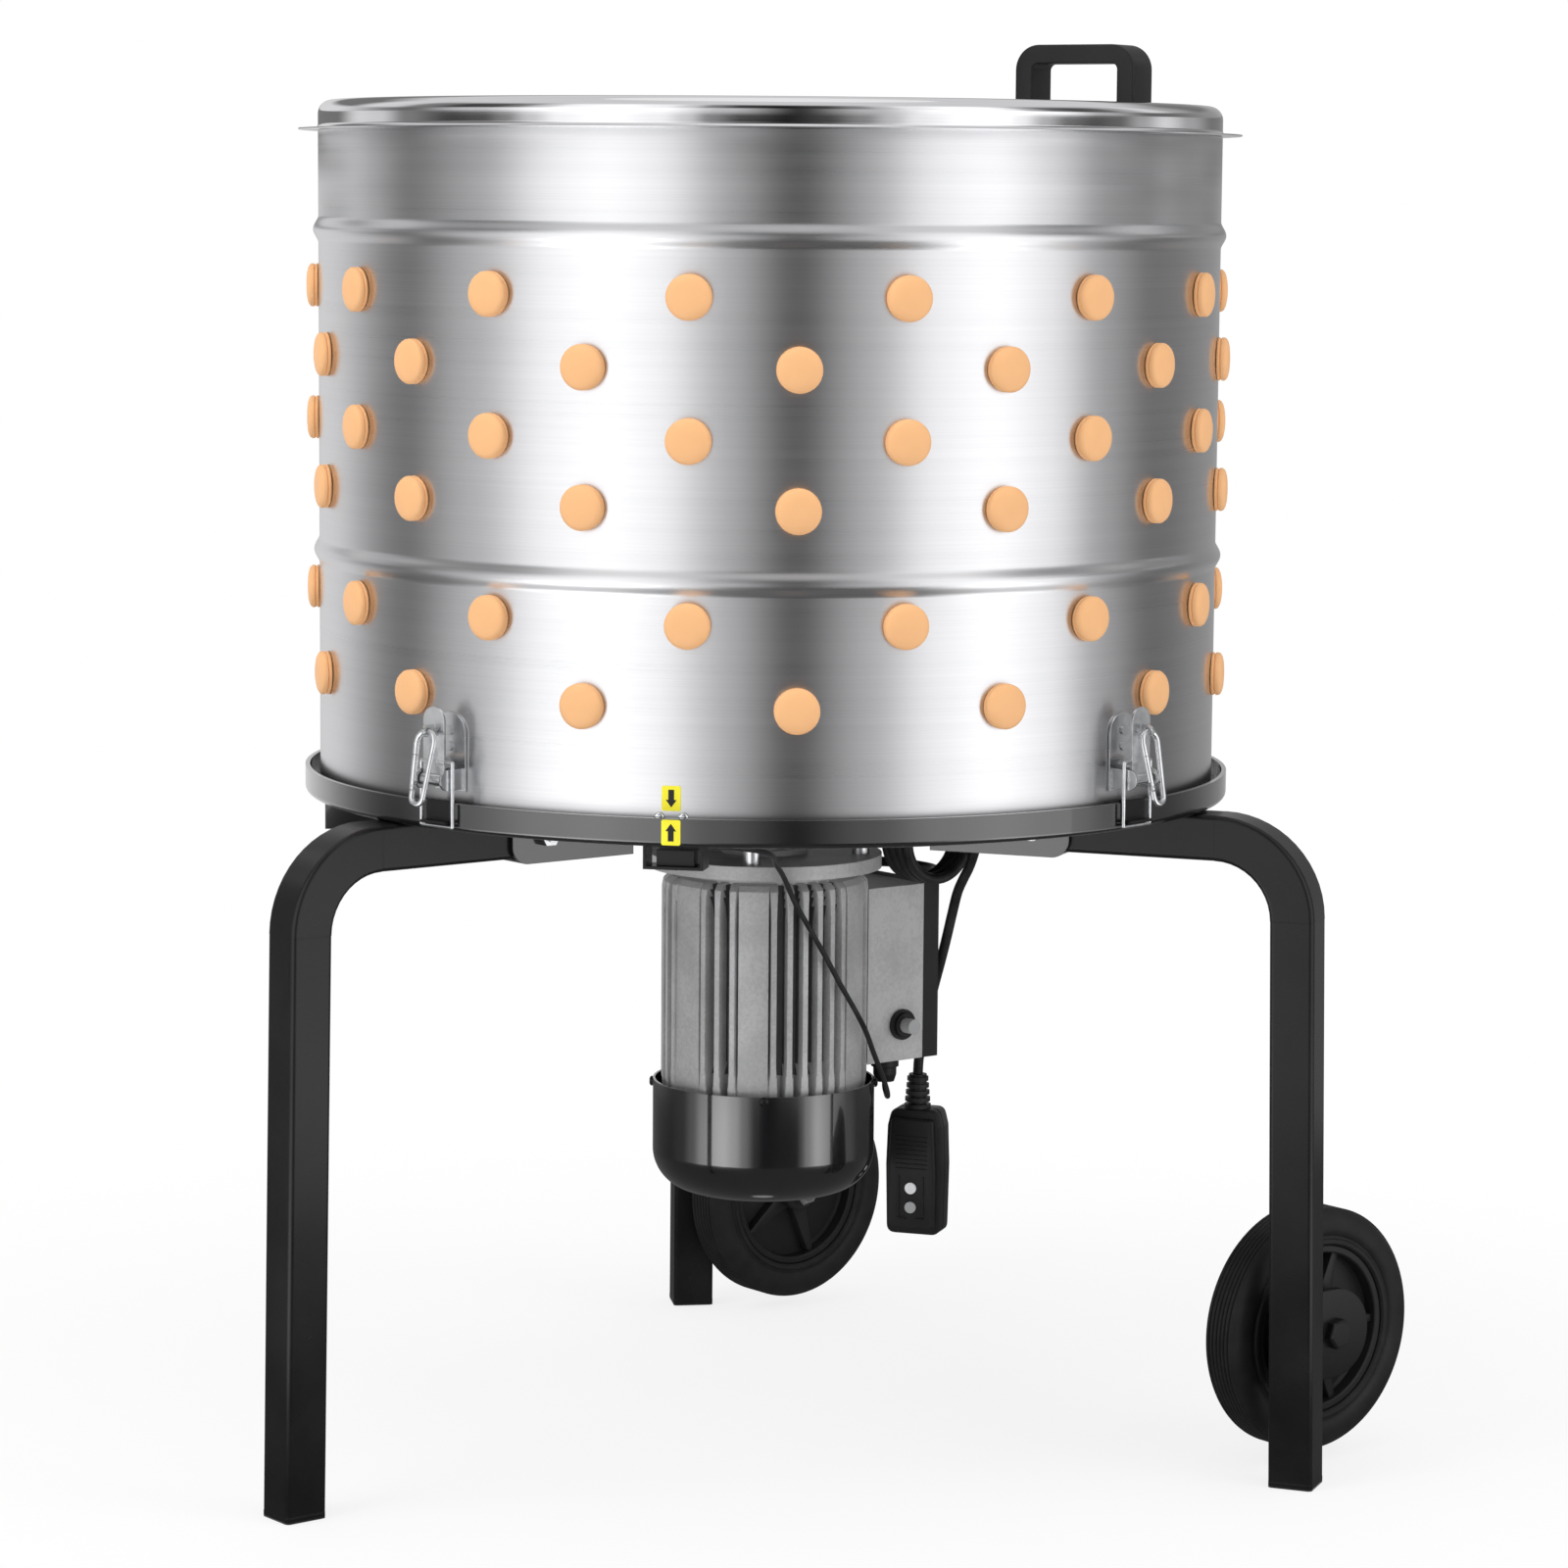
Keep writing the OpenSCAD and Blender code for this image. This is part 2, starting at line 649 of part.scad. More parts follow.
// Small pan-head screws: fan cover, box cover and the two guide screws at the drum's edge
screw_head_r = 3.4;
screw_head_h = 2.4;
module pan_screw(len) {
    translate([0, 0, -len]) cylinder(r = cover_screw_r, h = len + 0.5);
    translate([0, 0, seat_gap]) intersection() {
        cylinder(r = screw_head_r, h = screw_head_h);
        translate([0, 0, screw_head_h - 4.4]) sphere(4.4);
    }
}
mark_azimuth = 40.6;
guide_azimuths = [mark_azimuth - 1.45, mark_azimuth + 1.45];
guide_z = pan_z + rim_h - 0.5;
guide_screw_len = sheet_t + 3;
module small_screws() {
    color("gainsboro") {
        for (a = cover_pad_azimuths) outward(a) translate([cover_r, 0, motor_low + 5])
            rotate([0, 90, 0]) pan_screw(8);
        for (sx = [-1, 1], z = [box_low + 7, box_low + box_h - 7])
            on_axis() translate([sx * (box_half_w - 7), box_reach + box_cover_t, z])
                rotate([-90, 0, 0]) pan_screw(box_cover_t + 3);
        for (a = guide_azimuths) outward(a) translate([drum_r, 0, guide_z])
            rotate([0, 90, 0]) pan_screw(guide_screw_len);
    }
}

// Cast terminal box, saddled on the motor and open toward +Y
box_wall = 3.5;
box_drop = 137;
box_low = motor_top - box_drop;
box_back = 76;
saddle_y = 30;
reset_y = 85;
reset_z = box_low + 25;
reset_stem_r = 4;
module terminal_box() {
    screw_r = cover_screw_r + slide_gap;
    color("#97999b") on_axis() difference() {
        translate([-box_half_w, saddle_y, box_low]) cube([2 * box_half_w, box_reach - saddle_y, box_h]);
        translate([0, 0, box_low - 1]) cylinder(r = fin_r + slide_gap, h = box_h + 2);
        difference() {
            translate([-box_half_w + box_wall, box_back, box_low + box_wall])
                cube([2 * (box_half_w - box_wall), box_reach, box_h - 2 * box_wall]);
            for (sx = [-1, 1], z = [box_low + 7, box_low + box_h - 7])
                translate([sx * (box_half_w - 7), box_reach, z]) cross_rod(6, 4 * box_reach);
        }
        for (sx = [-1, 1], z = [box_low + 7, box_low + box_h - 7])
            translate([sx * (box_half_w - 7), box_reach, z]) cross_rod(screw_r, 30);
        translate([box_half_w - box_wall - 1, reset_y, reset_z]) rod(reset_stem_r + 2, box_wall + 2);
        translate([lead_gland_x, lead_gland_y, box_low - 1]) cylinder(r = gland_bore_r, h = box_wall + 6);
        translate([-box_half_w - 1, cord_gland_y, cord_gland_z]) rod(gland_bore_r, box_wall + 6);
    }
}

module terminal_cover() {
    color("#17181a") on_axis() difference() {
        translate([-box_half_w, box_reach + seat_gap, box_low])
            cube([2 * box_half_w, box_cover_t - seat_gap, box_h]);
        translate([-box_half_w + 12, box_reach - 1, box_low + box_wall])
            cube([2 * (box_half_w - 12), box_cover_t - 1, box_h - 2 * box_wall]);
        for (sx = [-1, 1], z = [box_low + 7, box_low + box_h - 7])
            translate([sx * (box_half_w - 7), box_reach, z]) cross_rod(cover_screw_r + slide_gap, 40);
    }
}

// Reset breaker on the box's +X face: a ring nut and a sprung button
bezel_r = 10.5;
bezel_t = 5;
button_r = 5.2;
button_out = 14;
module reset_bezel() {
    color("#1b1b1d") on_axis() translate([box_half_w + seat_gap, reset_y, reset_z]) difference() {
        union() {
            rod(bezel_r, 2.5);
            rod(bezel_r - 2.2, bezel_t);
        }
        translate([-1, 0, 0]) rod(button_r + run_gap, bezel_t + 2);
    }
}
module reset_button() {
    color("#77797c") on_axis() translate([box_half_w + reset_travel, reset_y, reset_z]) {
        rod(button_r, button_out - reset_travel);
        translate([-reset_travel - box_wall - 8, 0, 0]) rod(reset_stem_r, box_wall + 9 + reset_travel);
    }
}

// Cable glands: the switch lead's under the box, the mains cord's on the -X face
gland_bore_r = 5;
gland_len = 15;
lead_gland_x = 34;
lead_gland_y = 79;
cord_gland_in = 14;
cord_gland_y = box_reach - cord_gland_in;
cord_gland_drop = 3.5;
cord_gland_z = box_low + box_h / 2 - cord_gland_drop;
cord_gland_len = 19;
module gland(len, bore) {
    rotate_extrude() polygon([[bore, -box_wall - 4], [gland_bore_r - seat_gap, -box_wall - 4],
        [gland_bore_r - seat_gap, seat_gap], [9.5, seat_gap], [9.5, 4.5], [8, 5], [8, len - 5],
        [6.5, len], [bore, len]]);
}
module cable_glands() {
    color("#141416") on_axis() {
        translate([lead_gland_x, lead_gland_y, box_low]) rotate([180, 0, 0])
            gland(gland_len, lead_d / 2 + slide_gap);
        translate([-box_half_w, cord_gland_y, cord_gland_z]) rotate([0, -90, 0])
            gland(cord_gland_len, cord_d / 2 + slide_gap);
    }
}

// Limit switch in its strap under the pan, below the alignment marks
switch_in = 24;
switch_r = rim_r - switch_in;
strap_w = 38;
strap_h = 16;
strap_depth = 18;
strap_t = 2;
module switch_bracket() {
    color("#18181a") outward(mark_azimuth) translate([switch_r - strap_depth / 2, 0, pan_z - strap_h])
        difference() {
            translate([0, -strap_w / 2, 0]) cube([strap_depth, strap_w, strap_h]);
            translate([-1, -strap_w / 2 + strap_t, strap_t])
                cube([strap_depth + 2, strap_w - 2 * strap_t, strap_h - 2 * strap_t]);
        }
}
module limit_switch() {
    color("#26262a") outward(mark_azimuth)
        translate([switch_r - strap_depth / 2 + 3, -strap_w / 2 + 8, pan_z - strap_h + strap_t + seat_gap])
            cube([strap_depth - 6, strap_w - 14, strap_h - 2 * strap_t - 2 * seat_gap - 2]);
}

// Alignment marks on the drum and on the pan's rim
mark_w = 12;
mark_t = 0.4;
mark_h = 15.6;
module alignment_marks() {
    color("gold") outward(mark_azimuth) {
        translate([drum_r + 0.02, -mark_w / 2, guide_z + 4]) cube([mark_t, mark_w, mark_h]);
        translate([rim_r + 0.02, -mark_w / 2 + 2, pan_z + 1.5]) cube([mark_t, mark_w, rim_h - 2.2]);
    }
}

// Latch: lever pivot, bail pivot and clip eye, as distances out of the drum wall and heights
pivot_out = 15;
pivot_z = pan_z + 33;
bail_out = rim_r - drum_r + 3;
bail_z = pivot_z + 11;
eye_out = 21.5;
eye_z = pivot_z + 31;
pin_r = 1.6;
ear_y = tongue_w / 2 + 1;
ear_t = 1.6;
bail_y = ear_y + ear_t + 0.6 + bail_d / 2;
bar_z = pan_z + 3.5;
lip_low = bar_z + bail_d / 2 + 0.5;
tongue_t = 1.8;
base_t = 1.5;
base_w = 27;
module at_latch(n) {
    outward(latch_turn + (n - 1) * 360 / latch_count) translate([drum_r, 0, 0]) children();
}
module latch_base() {
    difference() {
        union() {
            translate([0.05, -base_w / 2, pivot_z - 8]) cube([base_t, base_w, 36]);
            translate([0.05, 0, pivot_z + 28]) rod(base_w / 2, base_t);
            for (s = [-1, 1]) translate([0, s * (ear_y + ear_t / 2), pivot_z]) {
                cross_rod_at = [pivot_out, 0, 0];
                translate(cross_rod_at) cross_rod(6.5, ear_t);
                translate([base_t / 2, -ear_t / 2, -6.5]) cube([pivot_out - base_t / 2, ear_t, 13]);
            }
        }
        for (z = [rivet_z, rivet_z + rivet_pitch]) translate([-1, 0, z]) rod(rivet_r + seat_gap, 4);
    }
    translate([pivot_out, 0, pivot_z]) cross_rod(pin_r, 2 * (ear_y + ear_t) + 0.3);
}
rivet_r = 1.5;
rivet_z = pivot_z + 20;
rivet_pitch = 10;
module latch_bases() {
    color("gainsboro") for (n = [1 : latch_count]) at_latch(n) {
        latch_base();
        for (z = [rivet_z, rivet_z + rivet_pitch]) translate([0, 0, z]) {
            rod(rivet_r, base_t + 0.2);
            translate([base_t + 0.1, 0, 0]) rod(3, 1);
        }
    }
}

// Lever: barrel on the pivot, bail boss, tongue with a round end and the eye for the clip
eye_hole_r = clip_d / 2 + 0.5;
module latch_lever() {
    difference() {
        union() {
            translate([pivot_out, 0, pivot_z]) cross_rod(4, tongue_w);
            translate([bail_out, 0, bail_z]) cross_rod(bail_d / 2 + 2, tongue_w);
            translate([pivot_out - tongue_t / 2, -tongue_w / 2, pivot_z])
                cube([tongue_t, tongue_w, tongue_len - tongue_w / 2]);
            translate([pivot_out - tongue_t / 2, 0, pivot_z + tongue_len - tongue_w / 2])
                rod(tongue_w / 2, tongue_t);
            translate([eye_out, 0, eye_z]) cross_rod(eye_hole_r + 1.6, 2);
            translate([pivot_out, -1, eye_z - eye_hole_r - 1.6])
                cube([eye_out - pivot_out, 2, 2 * eye_hole_r + 3.2]);
        }
        translate([pivot_out, 0, pivot_z]) cross_rod(pin_r + run_gap, 60);
        translate([bail_out, 0, bail_z]) cross_rod(bail_d / 2 + run_gap, 60);
        translate([eye_out, 0, eye_z]) cross_rod(eye_hole_r, 20);
    }
}

// Bail: one wire loop from the lever down and under the catch
module latch_bail() {
    r = bail_d / 2;
    translate([bail_out, 0, bail_z]) cross_rod(r, 2 * bail_y);
    for (s = [-1, 1]) translate([bail_out, s * bail_y, 0]) {
        translate([0, 0, bar_z]) cylinder(r = r, h = bail_z - bar_z);
        for (z = [bar_z, bail_z]) translate([0, 0, z]) sphere(r);
    }
    translate([bail_out, 0, bar_z]) cross_rod(r, 2 * bail_y);
}

// Catch on the pan's rim: a plate with a lip over the bail's bar
catch_w = 2 * bail_y - bail_d - 4;
catch_t = 1.8;
module latch_catches() {
    rim_out = rim_r - drum_r;
    color("#151517") for (n = [1 : latch_count]) at_latch(n) {
        translate([rim_out + 0.05, -catch_w / 2, lip_low])
            cube([catch_t - 0.1, catch_w, pan_z + rim_h - lip_low + 2]);
        translate([rim_out + 0.05, -catch_w / 2, lip_low]) cube([7.5, catch_w, catch_t]);
        translate([-4, 0, 0]) translate([rim_out - rim_t + 3.9, -catch_w / 2, pan_z + rim_h + 0.1])
            cube([rim_t + catch_t, catch_w, 1.9]);
    }
}

// Safety clip: pear-shaped wire loop hanging in the lever's eye, its lower end pushed out over the rim
clip_tilt = 12;
clip_top_r = 7.5;
clip_low_r = 5;
clip_drop = 34;
clip_lean = asin((clip_top_r - clip_low_r) / clip_drop);
clip_side_len = sqrt(clip_drop * clip_drop - pow(clip_top_r - clip_low_r, 2));
gate_len = 20;
gate_low = 6.5;
gate_r = 2;
gate_slot = 1.5;
gate_pin_r = 0.8;
module in_clip_plane() {
    translate([eye_out, 0, eye_z]) rotate([0, -clip_tilt, 0])
        translate([0, 0, -clip_top_r]) rotate([90, 0, 90]) children();
}
module clip_arc(r, from, sweep) {
    rotate([0, 0, from]) rotate_extrude(angle = sweep) translate([r, 0]) circle(clip_d / 2);
}
// Straight side from the lower arc up to the upper one; s is +1 or -1
module on_clip_side(s) {
    mirror([s < 0 ? 1 : 0, 0, 0]) translate([0, -clip_drop, 0]) rotate([0, 0, -clip_lean])
        translate([clip_low_r, 0, 0]) rotate([-90, 0, 0]) children();
}
module safety_clip() {
    in_clip_plane() {
        clip_arc(clip_top_r, -clip_lean, 180 + 2 * clip_lean);
        translate([0, -clip_drop, 0]) clip_arc(clip_low_r, 180 + clip_lean, 180 - 2 * clip_lean);
        on_clip_side(1) cylinder(r = clip_d / 2, h = clip_side_len);
        on_clip_side(-1) {
            cylinder(r = clip_d / 2, h = gate_low - gate_r - 0.8);
            translate([-1.4, -gate_slot / 2 + 0.2, 0]) cube([2.8, gate_slot - 0.4, gate_low]);
            translate([0, 0, gate_low]) cross_rod(1.4, gate_slot - 0.4);
            translate([0, 0, gate_low]) cross_rod(gate_pin_r, 2 * gate_r - 0.4);
        }
        rotate([0, 0, 180 + clip_lean]) translate([clip_top_r, -0.6, 0]) rotate([-90, 0, 0])
            cylinder(r = gate_r, h = clip_side_len - gate_low - gate_len + 0.6);
    }
}
module clip_gate() {
    in_clip_plane() on_clip_side(-1) difference() {
        translate([0, 0, gate_low - gate_r]) cylinder(r = gate_r, h = gate_len + gate_r - slide_gap);
        translate([-5, -gate_slot / 2, gate_low - gate_r - 1]) cube([10, gate_slot, gate_r + 4]);
        translate([0, 0, gate_low]) cross_rod(gate_pin_r + run_gap, 10);
    }
}

module latch_lever_1() { color("gainsboro") at_latch(1) latch_lever(); }
module latch_lever_2() { color("gainsboro") at_latch(2) latch_lever(); }
module latch_lever_3() { color("gainsboro") at_latch(3) latch_lever(); }
module latch_lever_4() { color("gainsboro") at_latch(4) latch_lever(); }
module latch_bail_1() { color("silver") at_latch(1) latch_bail(); }
module latch_bail_2() { color("silver") at_latch(2) latch_bail(); }
module latch_bail_3() { color("silver") at_latch(3) latch_bail(); }
module latch_bail_4() { color("silver") at_latch(4) latch_bail(); }
module safety_clip_1() { color("silver") at_latch(1) safety_clip(); }
module safety_clip_2() { color("silver") at_latch(2) safety_clip(); }
module safety_clip_3() { color("silver") at_latch(3) safety_clip(); }
module safety_clip_4() { color("silver") at_latch(4) safety_clip(); }
module clip_gate_1() { color("white") at_latch(1) clip_gate(); }
module clip_gate_2() { color("white") at_latch(2) clip_gate(); }
module clip_gate_3() { color("white") at_latch(3) clip_gate(); }
module clip_gate_4() { color("white") at_latch(4) clip_gate(); }

// Feather plate and the hub that carries it on the shaft
hub_flange_r = 42;
hub_flange_t = 6;
hub_screw_r = 3;
hub_screw_pcd_r = 30;
module feather_plate() {
    color("silver") difference() {
        on_axis() translate([0, 0, plate_low]) cylinder(r = plate_r, h = plate_t);
        on_axis() translate([0, 0, plate_low - 1]) cylinder(r = shaft_r + slide_gap, h = plate_t + 2);
        at_plate_fingers() translate([0, 0, -1]) cylinder(d = finger_hole_d, h = plate_t + 2);
        for (a = [0 : 90 : 270]) outward(a + 45) translate([hub_screw_pcd_r, 0, plate_low - 1])
            cylinder(r = hub_screw_r + slide_gap, h = plate_t + 2);
    }
}
module plate_hub() {
    color("lightgray") {
        on_axis() difference() {
            union() {
                translate([0, 0, plate_low - hub_flange_t - seat_gap])
                    cylinder(r = hub_flange_r, h = hub_flange_t);
                translate([0, 0, pan_floor + 7])
                    cylinder(r = 20, h = plate_low - pan_floor - 7 - hub_flange_t);
            }
            translate([0, 0, pan_floor]) cylinder(r = shaft_r + run_gap, h = plate_rise + 10);
            for (a = [0 : 90 : 270]) rotate([0, 0, a - 45])
                translate([hub_screw_pcd_r, 0, plate_low - 20]) cylinder(r = hub_screw_r, h = 30);
        }
        for (a = [0 : 90 : 270]) outward(a + 45) translate([hub_screw_pcd_r, 0, 0]) {
            translate([0, 0, plate_low - hub_flange_t])
                cylinder(r = hub_screw_r - seat_gap, h = hub_flange_t + plate_t + 1);
            translate([0, 0, plate_top + seat_gap]) hex(10, 4);
        }
        on_axis() translate([0, 0, plate_top + seat_gap]) difference() {
            hex(32, 10);
            translate([0, 0, -1]) cylinder(r = shaft_r + run_gap, h = 12);
        }
    }
}

// Lid: shallow inverted pan with a flat flange and an inner locating skirt
skirt_h = 8;
skirt_gap = 1.5;
module lid_pan() {
    inner = drum_r - sheet_t;
    skirt_r = inner - skirt_gap;
    color("whitesmoke") on_axis() translate([0, 0, drum_top + seat_gap]) rotate_extrude() {
        translate([drum_r - sheet_t, 0]) square([flange_r - drum_r + sheet_t, sheet_t]);
        translate([skirt_r - sheet_t, -skirt_h]) square([sheet_t, skirt_h + sheet_t]);
        translate([skirt_r - sheet_t, 0]) square([drum_r - skirt_r, sheet_t]);
        translate([drum_r - sheet_t, 0]) square([sheet_t, lid_h - lid_round]);
        translate([drum_r - lid_round, lid_h - lid_round]) difference() {
            intersection() {
                circle(lid_round);
                square(lid_round);
            }
            circle(lid_round - sheet_t);
        }
        translate([0, lid_h - sheet_t]) square([drum_r - lid_round, sheet_t]);
    }
}

// Lid handle: a strap bent into a square loop, standing on the lid with its length along a radius
handle_azimuth = 112;
handle_corner = 16;
module lid_handle() {
    color("#141416") outward(handle_azimuth) translate([handle_r, 0, lid_top + 2 * seat_gap])
        rotate([90, 0, 0]) linear_extrude(handle_w, center = true) difference() {
            union() {
                translate([0, handle_h - handle_corner])
                    square([handle_len - 2 * handle_corner, 2 * handle_corner], center = true);
                translate([-handle_len / 2, 0]) square([handle_len, handle_h - handle_corner]);
                for (s = [-1, 1]) translate([s * (handle_len / 2 - handle_corner), handle_h - handle_corner])
                    circle(handle_corner);
            }
            inner_round = handle_corner - handle_t + 3;
            translate([-handle_len / 2 + handle_t, -1])
                square([handle_len - 2 * handle_t, handle_h - handle_t - inner_round + 1]);
            translate([-handle_len / 2 + handle_t + inner_round, 0])
                square([handle_len - 2 * handle_t - 2 * inner_round, handle_h - handle_t]);
            for (s = [-1, 1])
                translate([s * (handle_len / 2 - handle_t - inner_round), handle_h - handle_t - inner_round])
                    circle(inner_round);
        }
}

// Sweeps a tube of some sides along points as one closed polyhedron
function unit(v) = v / norm(v);
function tangents(p) = [for (i = [0 : len(p) - 1])
    unit(p[min(i + 1, len(p) - 1)] - p[max(i - 1, 0)])];
function next_side(side, t) = unit(side - (side * t) * t);
function sides_along(t, i = 0, side = undef) =
    let (s = next_side(side == undef ? (abs(t[0].z) < 0.9 ? [0, 0, 1] : [1, 0, 0]) : side, t[i]))
    i == len(t) - 1 ? [s] : concat([s], sides_along(t, i + 1, s));
module tube(points, d, sides) {
    t = tangents(points);
    u = sides_along(t);
    count = len(points);
    rings = [for (i = [0 : count - 1], k = [0 : sides - 1])
        let (a = k * 360 / sides, v = cross(t[i], u[i]))
        points[i] + d / 2 * (cos(a) * u[i] + sin(a) * v)];
    walls = [for (i = [0 : count - 2], k = [0 : sides - 1])
        let (a = i * sides + k, b = i * sides + (k + 1) % sides)
        each [[a, a + sides, b], [b, a + sides, b + sides]]];
    caps = [for (k = [1 : sides - 2])
        each [[0, k, k + 1], [(count - 1) * sides, (count - 1) * sides + k + 1, (count - 1) * sides + k]]];
    polyhedron(rings, concat(walls, caps), convexity = 12);
}

// A smooth curve through points, with a few rings on each stretch
function curve_point(a, b, c, d, s) = 0.5 * (2 * b + (c - a) * s + (2 * a - 5 * b + 4 * c - d) * s * s
    + (3 * b - a - 3 * c + d) * s * s * s);
function smooth(p, steps) = concat([for (i = [0 : len(p) - 2], k = [0 : steps - 1])
    curve_point(p[max(i - 1, 0)], p[i], p[i + 1], p[min(i + 2, len(p) - 1)], k / steps)], [p[len(p) - 1]]);

// Coil of the mains cord: turns side by side along X, from the bottom to the back
coil_turns = 3.75;
coil_x = 41;
coil_y = 99.5;
coil_z = pan_z - 35;
loop_rings = 24;
function coil_point(s) = let (a = -90 - 360 * s)
    [coil_x + coil_pitch * s, coil_y + coil_r * cos(a), coil_z + coil_r * sin(a)];
coil_points = [for (i = [0 : loop_rings * coil_turns]) coil_point(i / loop_rings)];
coil_start = coil_points[0];
coil_end = coil_points[len(coil_points) - 1];
turn_gap = min([for (i = [0 : len(coil_points) - loop_rings - 1], k = [-4 : 4])
    let (j = i + loop_rings + k) j < len(coil_points) ? norm(coil_points[j] - coil_points[i]) : 999]) - cord_d;
echo(least_gap_of_the_coil_to_itself = turn_gap);

module cord_coil() {
    color("#121214") on_axis() tube(coil_points, cord_d, 6);
}

// Free stretches of the mains cord, relative to the drum axis
cord_in = [[-63, 90, 310], [-70, 90, 310.5], [-82, 90.5, 316], [-90, 92, 329], [-91, 95, 345],
    [-84, 100, 361], [-70, 107, 372], [-52, 115, 377], [-32, 122, 379], [-12, 128, 380], [6, 131, 379.5],
    [20, 130, 379.5], [32.5, 124, 379.5], [40, 112.5, 379.5]];
cord_out = [[68.6, 128.3, 398], [63.5, 128.4, 386.5], [56.5, 128.4, 376], [50.5, 128.5, 366],
    [44.6, 128.7, 349.5], [39, 129, 333.2], [33, 129, 316], [26.5, 128.5, 297], [21.5, 127, 277],
    [19, 124.5, 258], [18.4, 122.6, 246]];
plug_x = 18.3;
plug_y = 122;
relief_top = 236;
joint_gap = 0.7;
module cord_run() {
    in_points = smooth(concat(cord_in, [coil_start + [0, joint_gap, 0]]), 2);
    out_points = smooth(concat([coil_end - [0, 0, joint_gap]], cord_out, [[plug_x, plug_y, relief_top]]), 2);
    color("#121214") on_axis() {
        tube(in_points, cord_d, 8);
        tube(out_points, cord_d, 8);
    }
}

// Tie that holds the coil's upper side against the pan
module cord_tie() {
    w = coil_pitch * coil_turns + cord_d + 2;
    low = coil_z + coil_r - cord_d / 2 - 0.6;
    color("#1d1d20") on_axis() translate([coil_x + coil_pitch * coil_turns / 2 - w / 2, coil_y - 2.5, 0])
        difference() {
            translate([-1.2, 0, low - 1.2]) cube([w + 2.4, 5, pan_z - low + 1.2]);
            translate([0, -1, low]) cube([w, 7, coil_z + coil_r + cord_d / 2 + 0.6 - low]);
        }
}

// Plug with a test and a reset button, hanging on the cord
plug_top = 212;
plug_azimuth = 33;
plug_corner = 6;
plug_button_r = 4;
plug_button_proud = 1.5;
plug_button_rise = [33.5, 20];
module at_plug() {
    on_axis() translate([plug_x, plug_y, plug_top - plug_h]) rotate([0, 0, plug_azimuth - 90]) children();
}
module at_plug_button(i) {
    at_plug() translate([plug_depth / 2, 0, plug_button_rise[i]]) children();
}
module plug_case() {
    color("#151517") difference() {
        at_plug() rotate([90, 0, 90]) linear_extrude(plug_depth, center = true)
            translate([0, plug_h / 2]) round_square(plug_w, plug_h, plug_corner);
        for (i = [0, 1]) at_plug_button(i) translate([-4, 0, 0]) rod(plug_button_r + run_gap, 8);
    }
}
module plug_button(i) {
    at_plug_button(i) translate([-2.5, 0, 0]) rod(plug_button_r, 2.5 + plug_button_proud);
}
module plug_test_button() { color("white") plug_button(0); }
module plug_reset_button() { color("lightgray") plug_button(1); }
module plug_prongs() {
    color("#c8b070") at_plug() translate([-plug_depth / 2 - seat_gap, 0, 0]) {
        for (s = [-1, 1]) translate([-17, s * 6.35 - 0.75, 22]) cube([17, 1.5, 6.5]);
        translate([-20, 0, 37]) rod(2.4, 20);
    }
}

// Ribbed strain relief between the cord and the plug
relief_ribs = 5;
module strain_relief() {
    step = (relief_top - plug_top) / relief_ribs;
    bore = cord_d / 2;
    ribs = [for (i = [0 : relief_ribs - 1])
        let (z = i * step, wide = 9.2 - 0.45 * i)
        each [[wide, z + seat_gap], [wide, z + 0.6 * step], [6.2, z + 0.6 * step], [6.2, z + step - 0.1]]];
    top = relief_ribs * step - 0.1;
    color("#151517") on_axis() translate([plug_x, plug_y, plug_top])
        rotate_extrude() polygon(concat([[0, seat_gap]], ribs, [[bore, top], [0, top]]));
}

// Thin lead from the limit switch across the motor into the gland under the box
lead_route = [[174, -206, 432], [166, -194, 433], [152, -166, 432], [137, -130, 427], [119.4, -90.8, 418.5],
    [90.3, -62.8, 406.5], [77.1, -46.4, 396.4], [73.8, -38, 385.6], [72, -30.7, 374.4], [73.7, -19.2, 356],
    [75.2, -7.5, 337.4], [75.4, 5.5, 317.2], [72.7, 20.9, 297.5], [68.5, 33.5, 281.6], [65, 43, 266.2],
    [62, 51, 254], [58.5, 58, 244], [53.5, 65, 235.5], [46.5, 71.5, 230], [39.5, 76.5, 228.8], [35.6, 78.6, 231]];
module switch_lead() {
    end = [lead_gland_x, lead_gland_y, box_low - gland_len];
    color("#121214") on_axis() tube(smooth(concat(lead_route, [end - [0, 0, 4], end]), 2), lead_d, 8);
}

base_pan();
legs();
leg_bolts();
axle_bolts();
motor_studs();
motor_flange();
motor_body();
stator();
fan_cover();
small_screws();
terminal_box();
terminal_cover();
reset_bezel();
cable_glands();
switch_bracket();
limit_switch();
shaft_bearings();
drum_shell();
drum_fingers();
latch_bases();
latch_catches();
alignment_marks();
cord_run();
cord_coil();
cord_tie();
plug_case();
plug_prongs();
strain_relief();
switch_lead();
output_shaft();
rotor();
cooling_fan();
plate_hub();
feather_plate();
plate_fingers();
lid_pan();
lid_handle();
tyre_right();
hub_right();
tyre_left();
hub_left();
latch_lever_1();
latch_lever_2();
latch_lever_3();
latch_lever_4();
latch_bail_1();
latch_bail_2();
latch_bail_3();
latch_bail_4();
safety_clip_1();
safety_clip_2();
safety_clip_3();
safety_clip_4();
clip_gate_1();
clip_gate_2();
clip_gate_3();
clip_gate_4();
reset_button();
plug_test_button();
plug_reset_button();
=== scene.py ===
import bpy, json, math
from mathutils import Vector, Matrix


